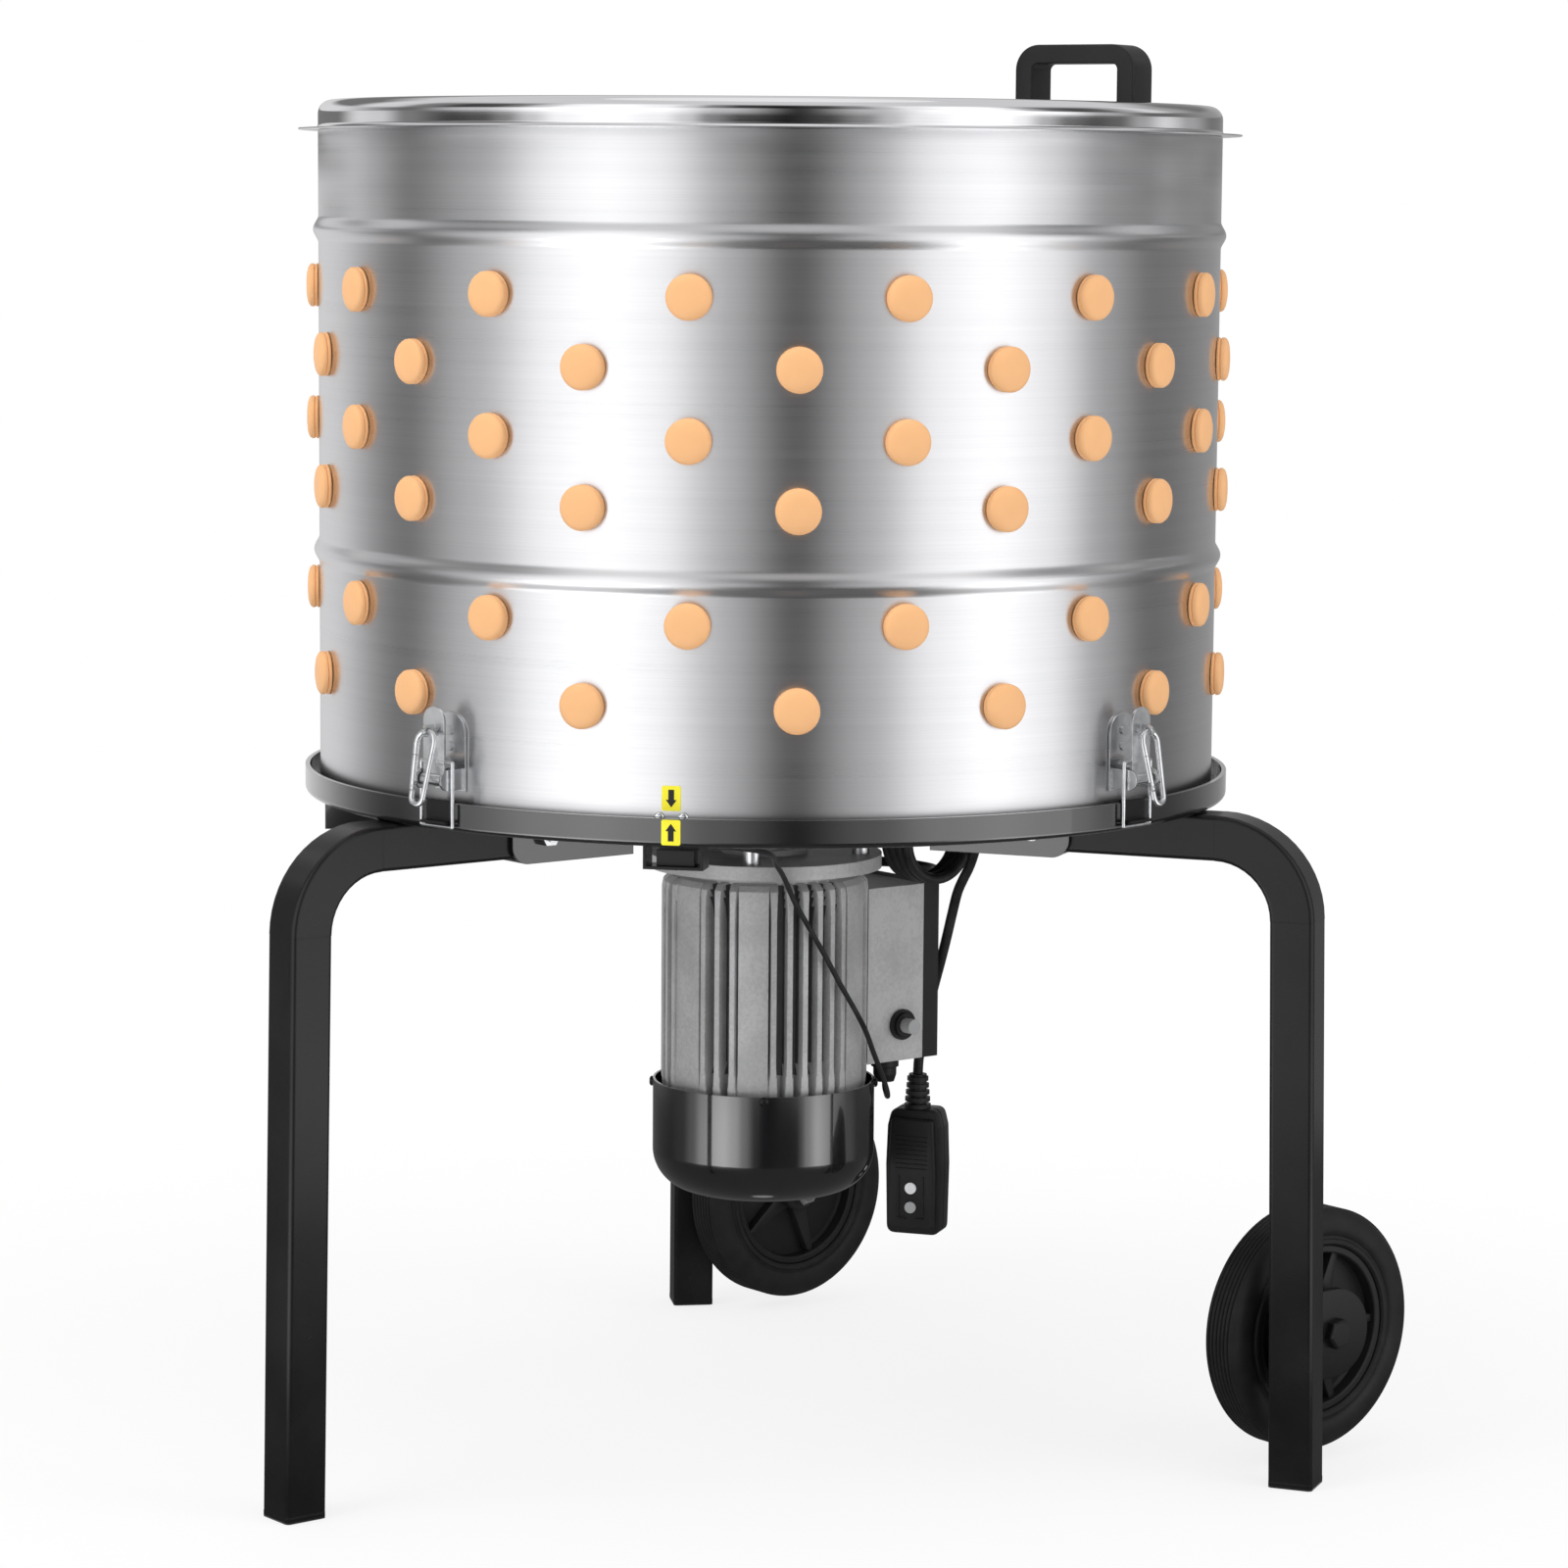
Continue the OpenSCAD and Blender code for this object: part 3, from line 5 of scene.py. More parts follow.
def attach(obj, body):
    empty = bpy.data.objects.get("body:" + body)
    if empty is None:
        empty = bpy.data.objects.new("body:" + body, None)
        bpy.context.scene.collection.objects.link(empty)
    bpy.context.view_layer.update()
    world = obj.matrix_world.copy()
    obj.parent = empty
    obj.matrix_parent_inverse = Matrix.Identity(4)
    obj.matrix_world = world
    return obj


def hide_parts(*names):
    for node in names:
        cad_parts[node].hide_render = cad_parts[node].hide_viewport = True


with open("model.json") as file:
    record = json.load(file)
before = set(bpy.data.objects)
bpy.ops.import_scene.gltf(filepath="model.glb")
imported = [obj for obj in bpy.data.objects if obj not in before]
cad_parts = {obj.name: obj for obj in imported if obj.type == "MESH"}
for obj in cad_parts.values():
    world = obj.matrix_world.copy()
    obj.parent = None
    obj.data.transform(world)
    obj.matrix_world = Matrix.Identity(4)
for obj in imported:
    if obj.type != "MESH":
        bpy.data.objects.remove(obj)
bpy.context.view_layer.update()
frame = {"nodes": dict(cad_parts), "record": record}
nodes = frame["nodes"]
axisY = 0.0340355        # the drum axis lies this far behind the origin
mm = 0.001
print("frame loaded:", len(nodes), "nodes")


def onAxis(x, y, z):
    return Vector((x * mm, axisY + y * mm, z * mm))


def outward(azimuth, r, side, z):
    # point r out from the drum axis at an azimuth counted from the front leg, moved sideways round the drum
    a = math.radians(azimuth)
    return Vector(((r * math.sin(a) + side * math.cos(a)) * mm,
                   axisY + (-r * math.cos(a) + side * math.sin(a)) * mm, z * mm))


def outwardTurn(azimuth):
    # +X outward, +Y round the drum, +Z up
    return Matrix.Rotation(math.radians(azimuth - 90), 4, "Z")


# camera at the photograph's place
cameraSetup = {"azimuth": 51.76, "distance": 3.2435, "height": 0.8461, "pitch": 0.12292, "yaw": 0.00380,
               "roll": -0.00774, "lens": 110.86, "sensor": 36, "near": 0.1, "far": 60}


def makeCamera(c):
    a = math.radians(c["azimuth"])
    ex = Vector((math.cos(a), math.sin(a), 0))
    ey = Vector((-math.sin(a), math.cos(a), 0))
    side = math.cos(c["yaw"]) * ex - math.sin(c["yaw"]) * ey
    ahead = math.sin(c["yaw"]) * ex + math.cos(c["yaw"]) * ey
    up = Vector((0, 0, 1))
    forward = math.cos(c["pitch"]) * ahead - math.sin(c["pitch"]) * up
    up0 = math.sin(c["pitch"]) * ahead + math.cos(c["pitch"]) * up
    right = math.cos(c["roll"]) * side - math.sin(c["roll"]) * up0
    top = math.sin(c["roll"]) * side + math.cos(c["roll"]) * up0
    data = bpy.data.cameras.new("camera")
    data.sensor_width = c["sensor"]
    data.lens = c["lens"]
    data.clip_start, data.clip_end = c["near"], c["far"]
    cam = bpy.data.objects.new("camera", data)
    turn = Matrix((right, top, -forward)).transposed()
    place = Vector((0, axisY, 0)) - ey * c["distance"] + up * c["height"]
    cam.matrix_world = Matrix.Translation(place) @ turn.to_4x4()
    bpy.context.scene.collection.objects.link(cam)
    bpy.context.scene.camera = cam


makeCamera(cameraSetup)
print("camera placed")


# materials: small helpers, then one function for each finish
def startMaterial(name, colour, metallic, roughness):
    mat = bpy.data.materials.new(name)
    mat.use_nodes = True
    tree = mat.node_tree
    shader = tree.nodes["Principled BSDF"]
    shader.inputs["Base Color"].default_value = (*colour, 1)
    shader.inputs["Metallic"].default_value = metallic
    shader.inputs["Roughness"].default_value = roughness
    return mat, tree, shader


def addNode(tree, kind, **settings):
    n = tree.nodes.new(kind)
    for k, v in settings.items():
        setattr(n, k, v)
    return n


def objectPoint(tree, scale=(1, 1, 1)):
    coord = addNode(tree, "ShaderNodeTexCoord")
    mapping = addNode(tree, "ShaderNodeMapping")
    mapping.inputs["Scale"].default_value = scale
    tree.links.new(coord.outputs["Object"], mapping.inputs["Vector"])
    return mapping.outputs["Vector"]


def noise(tree, point, scale, detail, rough=0.55):
    n = addNode(tree, "ShaderNodeTexNoise")
    n.inputs["Scale"].default_value = scale
    n.inputs["Detail"].default_value = detail
    n.inputs["Roughness"].default_value = rough
    tree.links.new(point, n.inputs["Vector"])
    return n.outputs["Fac"]


def ramp(tree, value, stops):
    # stops: two pairs of place and colour
    n = addNode(tree, "ShaderNodeValToRGB")
    for e, (pos, col) in zip(n.color_ramp.elements, stops):
        e.position = pos
        e.color = (*col, 1)
    tree.links.new(value, n.inputs["Fac"])
    return n.outputs["Color"]


def span(tree, value, low, high):
    n = addNode(tree, "ShaderNodeMapRange")
    n.inputs["To Min"].default_value = low
    n.inputs["To Max"].default_value = high
    tree.links.new(value, n.inputs["Value"])
    return n.outputs["Result"]


def combine(tree, operation, a, b):
    # a and b are sockets or plain numbers
    n = addNode(tree, "ShaderNodeMath", operation=operation)
    for socket, v in zip(n.inputs, (a, b)):
        if isinstance(v, float):
            socket.default_value = v
        else:
            tree.links.new(v, socket)
    return n.outputs[0]


def tint(tree, shader, value, stops):
    tree.links.new(ramp(tree, value, stops), shader.inputs["Base Color"])


def roughen(tree, shader, value, low, high):
    tree.links.new(span(tree, value, low, high), shader.inputs["Roughness"])


def shade(colour, factor, lift=0.0):
    return tuple(min(1, c * factor + lift) for c in colour)


def bump(tree, shader, height, strength, distance, softEdge=0.0):
    n = addNode(tree, "ShaderNodeBump")
    n.inputs["Strength"].default_value = strength
    n.inputs["Distance"].default_value = distance
    tree.links.new(height, n.inputs["Height"])
    if softEdge:
        b = addNode(tree, "ShaderNodeBevel", samples=4)
        b.inputs["Radius"].default_value = softEdge
        tree.links.new(b.outputs["Normal"], n.inputs["Normal"])
    tree.links.new(n.outputs["Normal"], shader.inputs["Normal"])


def brushedSteel(name, colour, roughness, streak, pull):
    # long horizontal brush marks that pull the shine upright, with a slow change of tone along the sheet
    mat, tree, shader = startMaterial(name, colour, 1.0, roughness)
    fine = noise(tree, objectPoint(tree, (2.2, 2.2, 1500)), 1.0, 2)
    broad = noise(tree, objectPoint(tree, (0.7, 0.7, 160)), 1.0, 3)
    mean = combine(tree, "MULTIPLY", combine(tree, "ADD", fine, broad), 0.5)
    tint(tree, shader, mean, [(0.3, shade(colour, 0.9)), (0.7, colour)])
    roughen(tree, shader, mean, roughness - 0.05, roughness + 0.07)
    bump(tree, shader, fine, streak, 0.00004)
    shader.inputs["Anisotropic"].default_value = pull
    shader.inputs["Anisotropic Rotation"].default_value = 0.25
    tangent = addNode(tree, "ShaderNodeTangent", direction_type="RADIAL", axis="Z")
    tree.links.new(tangent.outputs["Tangent"], shader.inputs["Tangent"])
    return mat


def plainMetal(name, colour, roughness, grain, softEdge):
    # plated or turned metal: faint clouding and fine grain
    mat, tree, shader = startMaterial(name, colour, 1.0, roughness)
    cloud = noise(tree, objectPoint(tree), 90, 3)
    tint(tree, shader, cloud, [(0.3, shade(colour, 0.8)), (0.62, colour)])
    roughen(tree, shader, cloud, roughness - 0.06, roughness + 0.1)
    bump(tree, shader, noise(tree, objectPoint(tree), 900, 2), grain, 0.0001, softEdge)
    return mat


def castMetal(name, colour, roughness, grain, softEdge=0.0):
    # sand-cast aluminium: coarse skin, a little dirt in the hollows
    mat, tree, shader = startMaterial(name, colour, 0.3, roughness)
    skin = noise(tree, objectPoint(tree), 420, 4, 0.65)
    patch = noise(tree, objectPoint(tree), 34, 3)
    dirt = combine(tree, "MULTIPLY", skin, patch)
    tint(tree, shader, dirt, [(0.12, shade(colour, 0.76)), (0.34, colour)])
    roughen(tree, shader, skin, roughness - 0.08, roughness + 0.12)
    bump(tree, shader, skin, grain, 0.0006, softEdge)
    return mat


def paint(name, colour, roughness, peel, softEdge=0.0, coat=0.0, sheen=0.3):
    # sprayed paint: orange peel and faint pale clouds
    mat, tree, shader = startMaterial(name, colour, 0.0, roughness)
    shader.inputs["Specular IOR Level"].default_value = sheen
    shader.inputs["Coat Weight"].default_value = coat
    shader.inputs["Coat Roughness"].default_value = 0.03
    peelNoise = noise(tree, objectPoint(tree), 330, 2)
    cloud = noise(tree, objectPoint(tree), 14, 4)
    tint(tree, shader, cloud, [(0.35, colour), (0.75, shade(colour, 1.5, 0.004))])
    roughen(tree, shader, cloud, roughness - 0.05, roughness + 0.08)
    bump(tree, shader, peelNoise, peel, 0.00025, softEdge)
    return mat


def plastic(name, colour, roughness, grain, softEdge=0.0):
    # moulded plastic: fine spark-eroded texture
    mat, tree, shader = startMaterial(name, colour, 0.0, roughness)
    shader.inputs["Specular IOR Level"].default_value = 0.32
    spark = noise(tree, objectPoint(tree), 1400, 2)
    cloud = noise(tree, objectPoint(tree), 25, 3)
    pale = tuple(c * 1.35 + 0.003 for c in colour)
    tint(tree, shader, cloud, [(0.35, colour), (0.8, pale)])
    roughen(tree, shader, spark, roughness - 0.06, roughness + 0.08)
    bump(tree, shader, spark, grain, 0.0002, softEdge)
    return mat


def rubber(name, colour, roughness, grain, bloom=0.08, softEdge=0.0):
    # soft rubber with a slight bloom on its skin
    mat, tree, shader = startMaterial(name, colour, 0.0, roughness)
    shader.inputs["Specular IOR Level"].default_value = 0.28
    skin = noise(tree, objectPoint(tree), 700, 3)
    patch = noise(tree, objectPoint(tree), 60, 3)
    tint(tree, shader, patch, [(0.3, colour), (0.75, shade(colour, 1 + bloom, bloom * 0.1))])
    roughen(tree, shader, skin, roughness - 0.06, roughness + 0.08)
    bump(tree, shader, skin, grain, 0.0002, softEdge)
    return mat


finishes = {
    "stainless": brushedSteel("drumSteel", (0.70, 0.70, 0.71), roughness=0.28, streak=0.05, pull=0.75),
    "polished_steel": brushedSteel("lidSteel", (0.80, 0.80, 0.81), roughness=0.07, streak=0.03, pull=0.5),
    "zinc": plainMetal("brightZinc", (0.78, 0.79, 0.80), roughness=0.22, grain=0.08, softEdge=0.0005),
    "shaft_steel": plainMetal("turnedSteel", (0.60, 0.61, 0.62), roughness=0.30, grain=0.06, softEdge=0.0005),
    "prong_brass": plainMetal("prongBrass", (0.78, 0.60, 0.28), roughness=0.26, grain=0.06, softEdge=0.0003),
    "cast_aluminium": castMetal("castGrey", (0.56, 0.56, 0.565), roughness=0.45, grain=0.30, softEdge=0.0008),
    # dark grey for the motor's fin hollows: painted shade in the grooves
    "cast_painted_shade": castMetal("castPaintedShade", (0.13, 0.13, 0.133), roughness=0.6, grain=0.30),
    "black_paint": paint("satinBlack", (0.006, 0.006, 0.0065), roughness=0.24, peel=0.06, softEdge=0.0012),
    "pan_black": paint("panBlack", (0.005, 0.005, 0.0055), roughness=0.16, peel=0.03, softEdge=0.001,
                       coat=1.0, sheen=1.0),
    "gloss_black": paint("glossBlack", (0.004, 0.004, 0.005), roughness=0.12, peel=0.02, softEdge=0.0008,
                         coat=1.0, sheen=0.9),
    "black_plastic": plastic("blackPlastic", (0.010, 0.010, 0.011), roughness=0.42, grain=0.12, softEdge=0.0008),
    "yellow_mark": plastic("yellowMark", (0.93, 0.84, 0.03), roughness=0.38, grain=0.03),
    "grey_button": plastic("greyButton", (0.40, 0.405, 0.41), roughness=0.22, grain=0.05, softEdge=0.0006),
    "white_button": plastic("whiteButton", (0.82, 0.83, 0.84), roughness=0.30, grain=0.04, softEdge=0.0004),
    "winding": rubber("windingVarnish", (0.22, 0.09, 0.035), roughness=0.35, grain=0.3),
    "finger_rubber": rubber("fingerRubber", (0.90, 0.49, 0.225), roughness=0.45, grain=0.06, bloom=0.04),
    "tyre_rubber": rubber("tyreRubber", (0.009, 0.009, 0.0095), roughness=0.50, grain=0.22, bloom=0.06,
                          softEdge=0.0006),
    "cord_rubber": rubber("cordRubber", (0.010, 0.010, 0.011), roughness=0.42, grain=0.10, bloom=0.2),
}
slotOf = {s["node"]: s["material_slot"] for s in frame["record"]["subparts"]}
for name, obj in nodes.items():
    obj.data.materials.clear()
    obj.data.materials.append(finishes[slotOf[name]])
nodes["base_pan"].data.materials[0] = finishes["pan_black"]
print("finishes:", len(finishes))


# mesh helpers
def addObject(name, verts, faces, smooth=True, split=35):
    mesh = bpy.data.meshes.new(name)
    mesh.from_pydata([tuple(v) for v in verts], [], faces)
    mesh.validate()
    mesh.update()
    obj = bpy.data.objects.new(name, mesh)
    bpy.context.scene.collection.objects.link(obj)
    if smooth:
        mesh.shade_smooth()
        mesh.set_sharp_from_angle(angle=math.radians(split))
    return obj


def finishPiece(obj, body, slot, *replaced):
    obj.data.materials.append(finishes[slot])
    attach(obj, body)
    if replaced:
        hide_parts(*replaced)
    return obj


def turned(profile, segments, closed=True):
    # profile of (radius, height) points spun about Z; closed joins its last point to its first
    verts, faces = [], []
    count = len(profile)
    for i in range(segments):
        a = 2 * math.pi * i / segments
        verts += [(r * math.cos(a), r * math.sin(a), z) for r, z in profile]
    for i in range(segments):
        j = (i + 1) % segments
        for k in range(count if closed else count - 1):
            m = (k + 1) % count
            a, b, c, d = i * count + k, j * count + k, j * count + m, i * count + m
            faces.append((a, b, c, d))
    return verts, faces


def arcPoints(cx, cy, r, start, end, steps):
    return [(cx + r * math.cos(math.radians(start + (end - start) * i / steps)),
             cy + r * math.sin(math.radians(start + (end - start) * i / steps))) for i in range(steps + 1)]


def copiesOf(verts, faces, places):
    # one mesh holding a copy of the shape at each matrix
    allVerts, allFaces = [], []
    for m in places:
        base = len(allVerts)
        allVerts += [m @ Vector(v) for v in verts]
        allFaces += [tuple(base + i for i in f) for f in faces]
    return allVerts, allFaces


# cords: the same routes as the solids, in millimetres from the drum axis
routeSteps = 4
cordFacts = {"diameter": 7.0, "coilRadius": 28.5, "pitch": 7.6, "turns": 3.75, "coil": (41, 99.5, 408),
             "coilSteps": 48, "ease": 1, "plug": (18.3, 122), "reliefTop": 236}
cordIn = [(-63, 90, 310), (-70, 90, 310.5), (-82, 90.5, 316), (-90, 92, 329), (-91, 95, 345), (-84, 100, 361),
          (-70, 107, 372), (-52, 115, 377), (-32, 122, 379), (-12, 128, 380), (6, 131, 379.5), (20, 130, 379.5),
          (32.5, 124, 379.5), (40, 112.5, 379.5)]
cordOut = [(68.6, 128.3, 398), (63.5, 128.4, 386.5), (56.5, 128.4, 376), (50.5, 128.5, 366), (44.6, 128.7, 349.5),
           (39, 129, 333.2), (33, 129, 316), (26.5, 128.5, 297), (21.5, 127, 277), (19, 124.5, 258),
           (18.4, 122.6, 246)]
leadFacts = {"diameter": 3.6, "glandMouth": (34, 79, 238.0), "straight": 4}
leadRoute = [(174, -206, 432), (166, -194, 433), (152, -166, 432), (137, -130, 427), (119.4, -90.8, 418.5),
             (90.3, -62.8, 406.5), (77.1, -46.4, 396.4), (73.8, -38, 385.6), (72, -30.7, 374.4), (73.7, -19.2, 356),
             (75.2, -7.5, 337.4), (75.4, 5.5, 317.2), (72.7, 20.9, 297.5), (68.5, 33.5, 281.6), (65, 43, 266.2),
             (62, 51, 254), (58.5, 58, 244), (53.5, 65, 235.5), (46.5, 71.5, 230), (39.5, 76.5, 228.8),
             (35.6, 78.6, 231)]


def smoothRoute(points, steps=routeSteps):
    # a curve through the points, each span cut into equal steps
    p = [Vector(q) for q in points]
    out = []
    for i in range(len(p) - 1):
        a, b, c, d = p[max(i - 1, 0)], p[i], p[i + 1], p[min(i + 2, len(p) - 1)]
        for k in range(steps):
            s = k / steps
            out.append(0.5 * (2 * b + (c - a) * s + (2 * a - 5 * b + 4 * c - d) * s * s
                              + (3 * b - a - 3 * c + d) * s * s * s))
    return out + [p[-1]]


def cordCurve(name, points, diameter):
    data = bpy.data.curves.new(name, "CURVE")
    data.dimensions = "3D"
    data.bevel_depth = diameter / 2 * mm
    data.bevel_resolution = 5
    data.use_fill_caps = True
    spline = data.splines.new("POLY")
    spline.points.add(len(points) - 1)
    placed = [onAxis(*p) for p in points]
    for q, p in zip(spline.points, placed):
        q.co = (*p, 1)
    spline.use_smooth = True
    obj = bpy.data.objects.new(name, data)
    bpy.context.scene.collection.objects.link(obj)
    return obj, placed, sum((b - a).length for a, b in zip(placed, placed[1:]))


def coilPoint(s, f=cordFacts):
    a = math.radians(-90 - 360 * s)
    cx, cy, cz = f["coil"]
    return (cx + f["pitch"] * s, cy + f["coilRadius"] * math.cos(a), cz + f["coilRadius"] * math.sin(a))


coilRoute = [coilPoint(i / cordFacts["coilSteps"])
             for i in range(int(cordFacts["coilSteps"] * cordFacts["turns"]) + 1)]
(startX, startY, startZ), (endX, endY, endZ) = coilRoute[0], coilRoute[-1]
mainsRoute = smoothRoute(cordIn + [(startX, startY + cordFacts["ease"], startZ)])
mainsRoute += [Vector(p) for p in coilRoute]
mainsRoute += smoothRoute([(endX, endY, endZ - cordFacts["ease"])] + cordOut
                          + [(*cordFacts["plug"], cordFacts["reliefTop"])])
mainsCord, mainsPlaced, mainsLength = cordCurve("mainsCord", mainsRoute, cordFacts["diameter"])
finishPiece(mainsCord, "base", "cord_rubber", "cord_run", "cord_coil")
gx, gy, gz = leadFacts["glandMouth"]
leadPoints = smoothRoute(leadRoute + [(gx, gy, gz - leadFacts["straight"]), (gx, gy, gz)])
switchLead, leadPlaced, leadLength = cordCurve("switchLead", leadPoints, leadFacts["diameter"])
finishPiece(switchLead, "base", "cord_rubber", "switch_lead")
print("cords:", round(mainsLength, 3), round(leadLength, 3))


# rubber fingers: grooved head, waist in the sheet, ribbed shank
fingerShape = {"headRadius": 14.25, "proud": 8.0, "neck": 10.0, "collar": 12.0, "length": 86, "ribs": 9, "tip": 6.5,
               "facets": 28}
drumRows = {"radius": 300, "base": 445.5, "heights": [82, 133.5, 204.5, 246.5, 290.5, 334], "count": 14, "start": 3.9,
            "sheet": 1.2}
plateRings = {"rings": [(58, 4), (118, 8), (180, 12)], "height": 474, "sheet": 3.0}


def fingerProfile(sheet, f=fingerShape):
    base = sheet + 0.1
    h, top = f["headRadius"], -f["proud"]
    pts = [(0.0, top), (h * 0.35, top + 0.1), (h * 0.62, top + 0.45), (h * 0.82, top + 1.15), (h * 0.94, top + 2.1),
           (h, top + 3.4), (h, -3.0), (h - 0.5, -2.6), (h - 0.9, -2.2), (h - 0.5, -1.8), (h, -1.4), (h, -0.5),
           (h - 0.4, -0.1), (f["neck"], -0.1), (f["neck"], base), (f["collar"] - 0.4, base),
           (f["collar"], base + 0.6), (f["collar"] - 0.2, base + 3), (f["collar"] - 1.4, base + 4.4)]
    first, last = base + 6, base + f["length"] - 9
    step = (last - first) / f["ribs"]
    for i in range(f["ribs"]):
        z = first + i * step
        r = f["neck"] - 0.7 - (f["neck"] - 0.7 - f["tip"]) * (z - base) / f["length"]
        pts += [(r - 0.5, z), (r + 0.55, z + step * 0.22), (r + 0.6, z + step * 0.45), (r - 0.5, z + step * 0.75)]
    end = base + f["length"]
    pts += [(f["tip"], end - 6), (f["tip"] - 0.4, end - 2.4), (f["tip"] - 1.8, end - 0.6), (0.0, end)]
    return [(r * mm, z * mm) for r, z in pts]


def drumFingerPlaces(d=drumRows):
    # each row stands half a step round from the row below it
    places = []
    for i, h in enumerate(d["heights"]):
        for k in range(d["count"]):
            az = d["start"] + (k + (i % 2) / 2) * 360 / d["count"]
            places.append(Matrix.Translation(outward(az, d["radius"], 0, d["base"] + h)) @ outwardTurn(az)
                          @ Matrix.Rotation(math.radians(-90), 4, "Y"))
    return places


def plateFingerPlaces(p=plateRings):
    places = []
    for i, (r, count) in enumerate(p["rings"]):
        for k in range(count):
            az = (k + i / len(p["rings"])) * 360 / count
            places.append(Matrix.Translation(outward(az, r, 0, p["height"])))
    return places


fingerSets = [("drumFingers", "base", drumRows["sheet"], drumFingerPlaces(), "drum_fingers"),
              ("plateFingers", "spinner", plateRings["sheet"], plateFingerPlaces(), "plate_fingers")]
for name, body, sheet, places, node in fingerSets:
    verts, faces = turned(fingerProfile(sheet), fingerShape["facets"], closed=False)
    obj = addObject(name, *copiesOf(verts, faces, places), split=50)
    finishPiece(obj, body, "finger_rubber", node)
print("fingers set")


# drum wall: one smooth sheet with two rolled beads and an eased top edge
drumShape = {"radius": 300.0, "sheet": 1.2, "bottom": 445.5, "height": 436.0, "beads": (159.5, 371.0),
             "beadReach": 8.75, "beadProud": 3.5, "rows": [60, 120, 220, 300, 400], "facets": 288}


def drumProfile(d=drumShape):
    def wallAt(z, r):
        out = r
        for b in d["beads"]:
            t = (z - b) / d["beadReach"]
            if abs(t) < 1:
                out += d["beadProud"] * (0.5 + 0.5 * math.cos(math.pi * t)) ** 0.8
        return out
    heights = [0.0]
    for b in d["beads"]:
        heights += [b + d["beadReach"] * t / 10 for t in range(-10, 11)]
    heights = sorted(heights + d["rows"] + [d["height"] - 1])
    outer = [(wallAt(z, d["radius"]), z) for z in heights]
    inner = [(wallAt(z, d["radius"] - d["sheet"]), z) for z in reversed(heights)]
    lip = [(d["radius"] - 0.3, d["height"] - 0.2), (d["radius"] - 0.9, d["height"] - 0.2)]
    return [(r * mm, z * mm) for r, z in outer + lip + inner]


drumWall = addObject("drumWall", *turned(drumProfile(), drumShape["facets"]), split=40)
drumWall.location = onAxis(0, 0, drumShape["bottom"])
finishPiece(drumWall, "base", "stainless", "drum_shell")
print("drum wall made")


# lid: drawn pan with an eased flange edge and a skirt inside the drum
lidShape = {"base": 881.6, "radius": 300.0, "flange": 313.0, "height": 19.5, "round": 9.0, "sheet": 1.2, "skirt": 8.0,
            "skirtOuter": 297.3, "skirtInner": 296.1, "fillet": 2.4, "filletTop": 3.6, "facets": 288}


def lidProfile(s=lidShape):
    t, r = s["sheet"], s["radius"]
    outer = [(x, s["height"]) for x in (0, 80, 160, 230, 270)]
    outer += arcPoints(r - s["round"], s["height"] - s["round"], s["round"], 90, 0, 10)
    outer += [(r, s["filletTop"])] + arcPoints(r + s["fillet"], s["filletTop"], s["fillet"], 180, 270, 6)
    outer += [(s["flange"] - 0.6, t), (s["flange"], t * 0.7), (s["flange"], t * 0.3), (s["flange"] - 0.6, 0)]
    inner = [(s["skirtOuter"], 0), (s["skirtOuter"], -s["skirt"]), (s["skirtInner"], -s["skirt"])]
    inner += [(s["skirtInner"], t), (r - t - 0.4, t + 0.4), (r - t, s["fillet"])]
    inner += arcPoints(r - s["round"], s["height"] - s["round"], s["round"] - t, 0, 90, 8)
    inner += [(x, s["height"] - t) for x in (270, 160, 80, 0)]
    return [(x * mm, z * mm) for x, z in outer + inner]


lidPan = addObject("lidPan", *turned(lidProfile(), lidShape["facets"], closed=False), split=40)
lidPan.location = onAxis(0, 0, lidShape["base"])
finishPiece(lidPan, "lid", "polished_steel", "lid_pan")
print("lid made")


# motor body: cast fins with draft, wide pads and flared feet
# pads: azimuth and half width in degrees; fins: azimuths, repeated half a turn on
motorShape = {"low": 236.0, "top": 389.9, "core": 59.0, "fin": 70.0, "tipHalf": 1.55, "rootHalf": 2.3,
              "padReach": 0.86, "padRoot": 0.7, "padSlope": 1.2, "padSwell": 0.5, "columns": 1440,
              "paintedShadeBelow": 0.25, "unshadedEndRows": 3,
              "pads": [(2, 10.5), (45.5, 9.0), (117, 11.5), (182, 10.5), (225.5, 9.0), (297, 11.5)],
              "fins": [15.8, 24.8, 33.8, 57, 66, 75, 84, 92.5, 101, 134, 143, 152, 161, 170]}


def finReach(azimuth, swell, m=motorShape):
    # 0 in a hollow, 1 on the crown of a fin; swell widens the fins by that many degrees
    reach = 0.0
    for turn in (0, 180):
        for c in m["fins"]:
            d = abs((azimuth - c - turn + 180) % 360 - 180) - swell
            reach = max(reach, min(1.0, max(0.0, (m["rootHalf"] - d) / (m["rootHalf"] - m["tipHalf"]))))
    for c, half in m["pads"]:
        d = abs((azimuth - c + 180) % 360 - 180) - swell * m["padSwell"]
        reach = max(reach, m["padReach"] * min(1.0, max(0.0, (half + m["padRoot"] - d) / m["padSlope"])))
    return reach


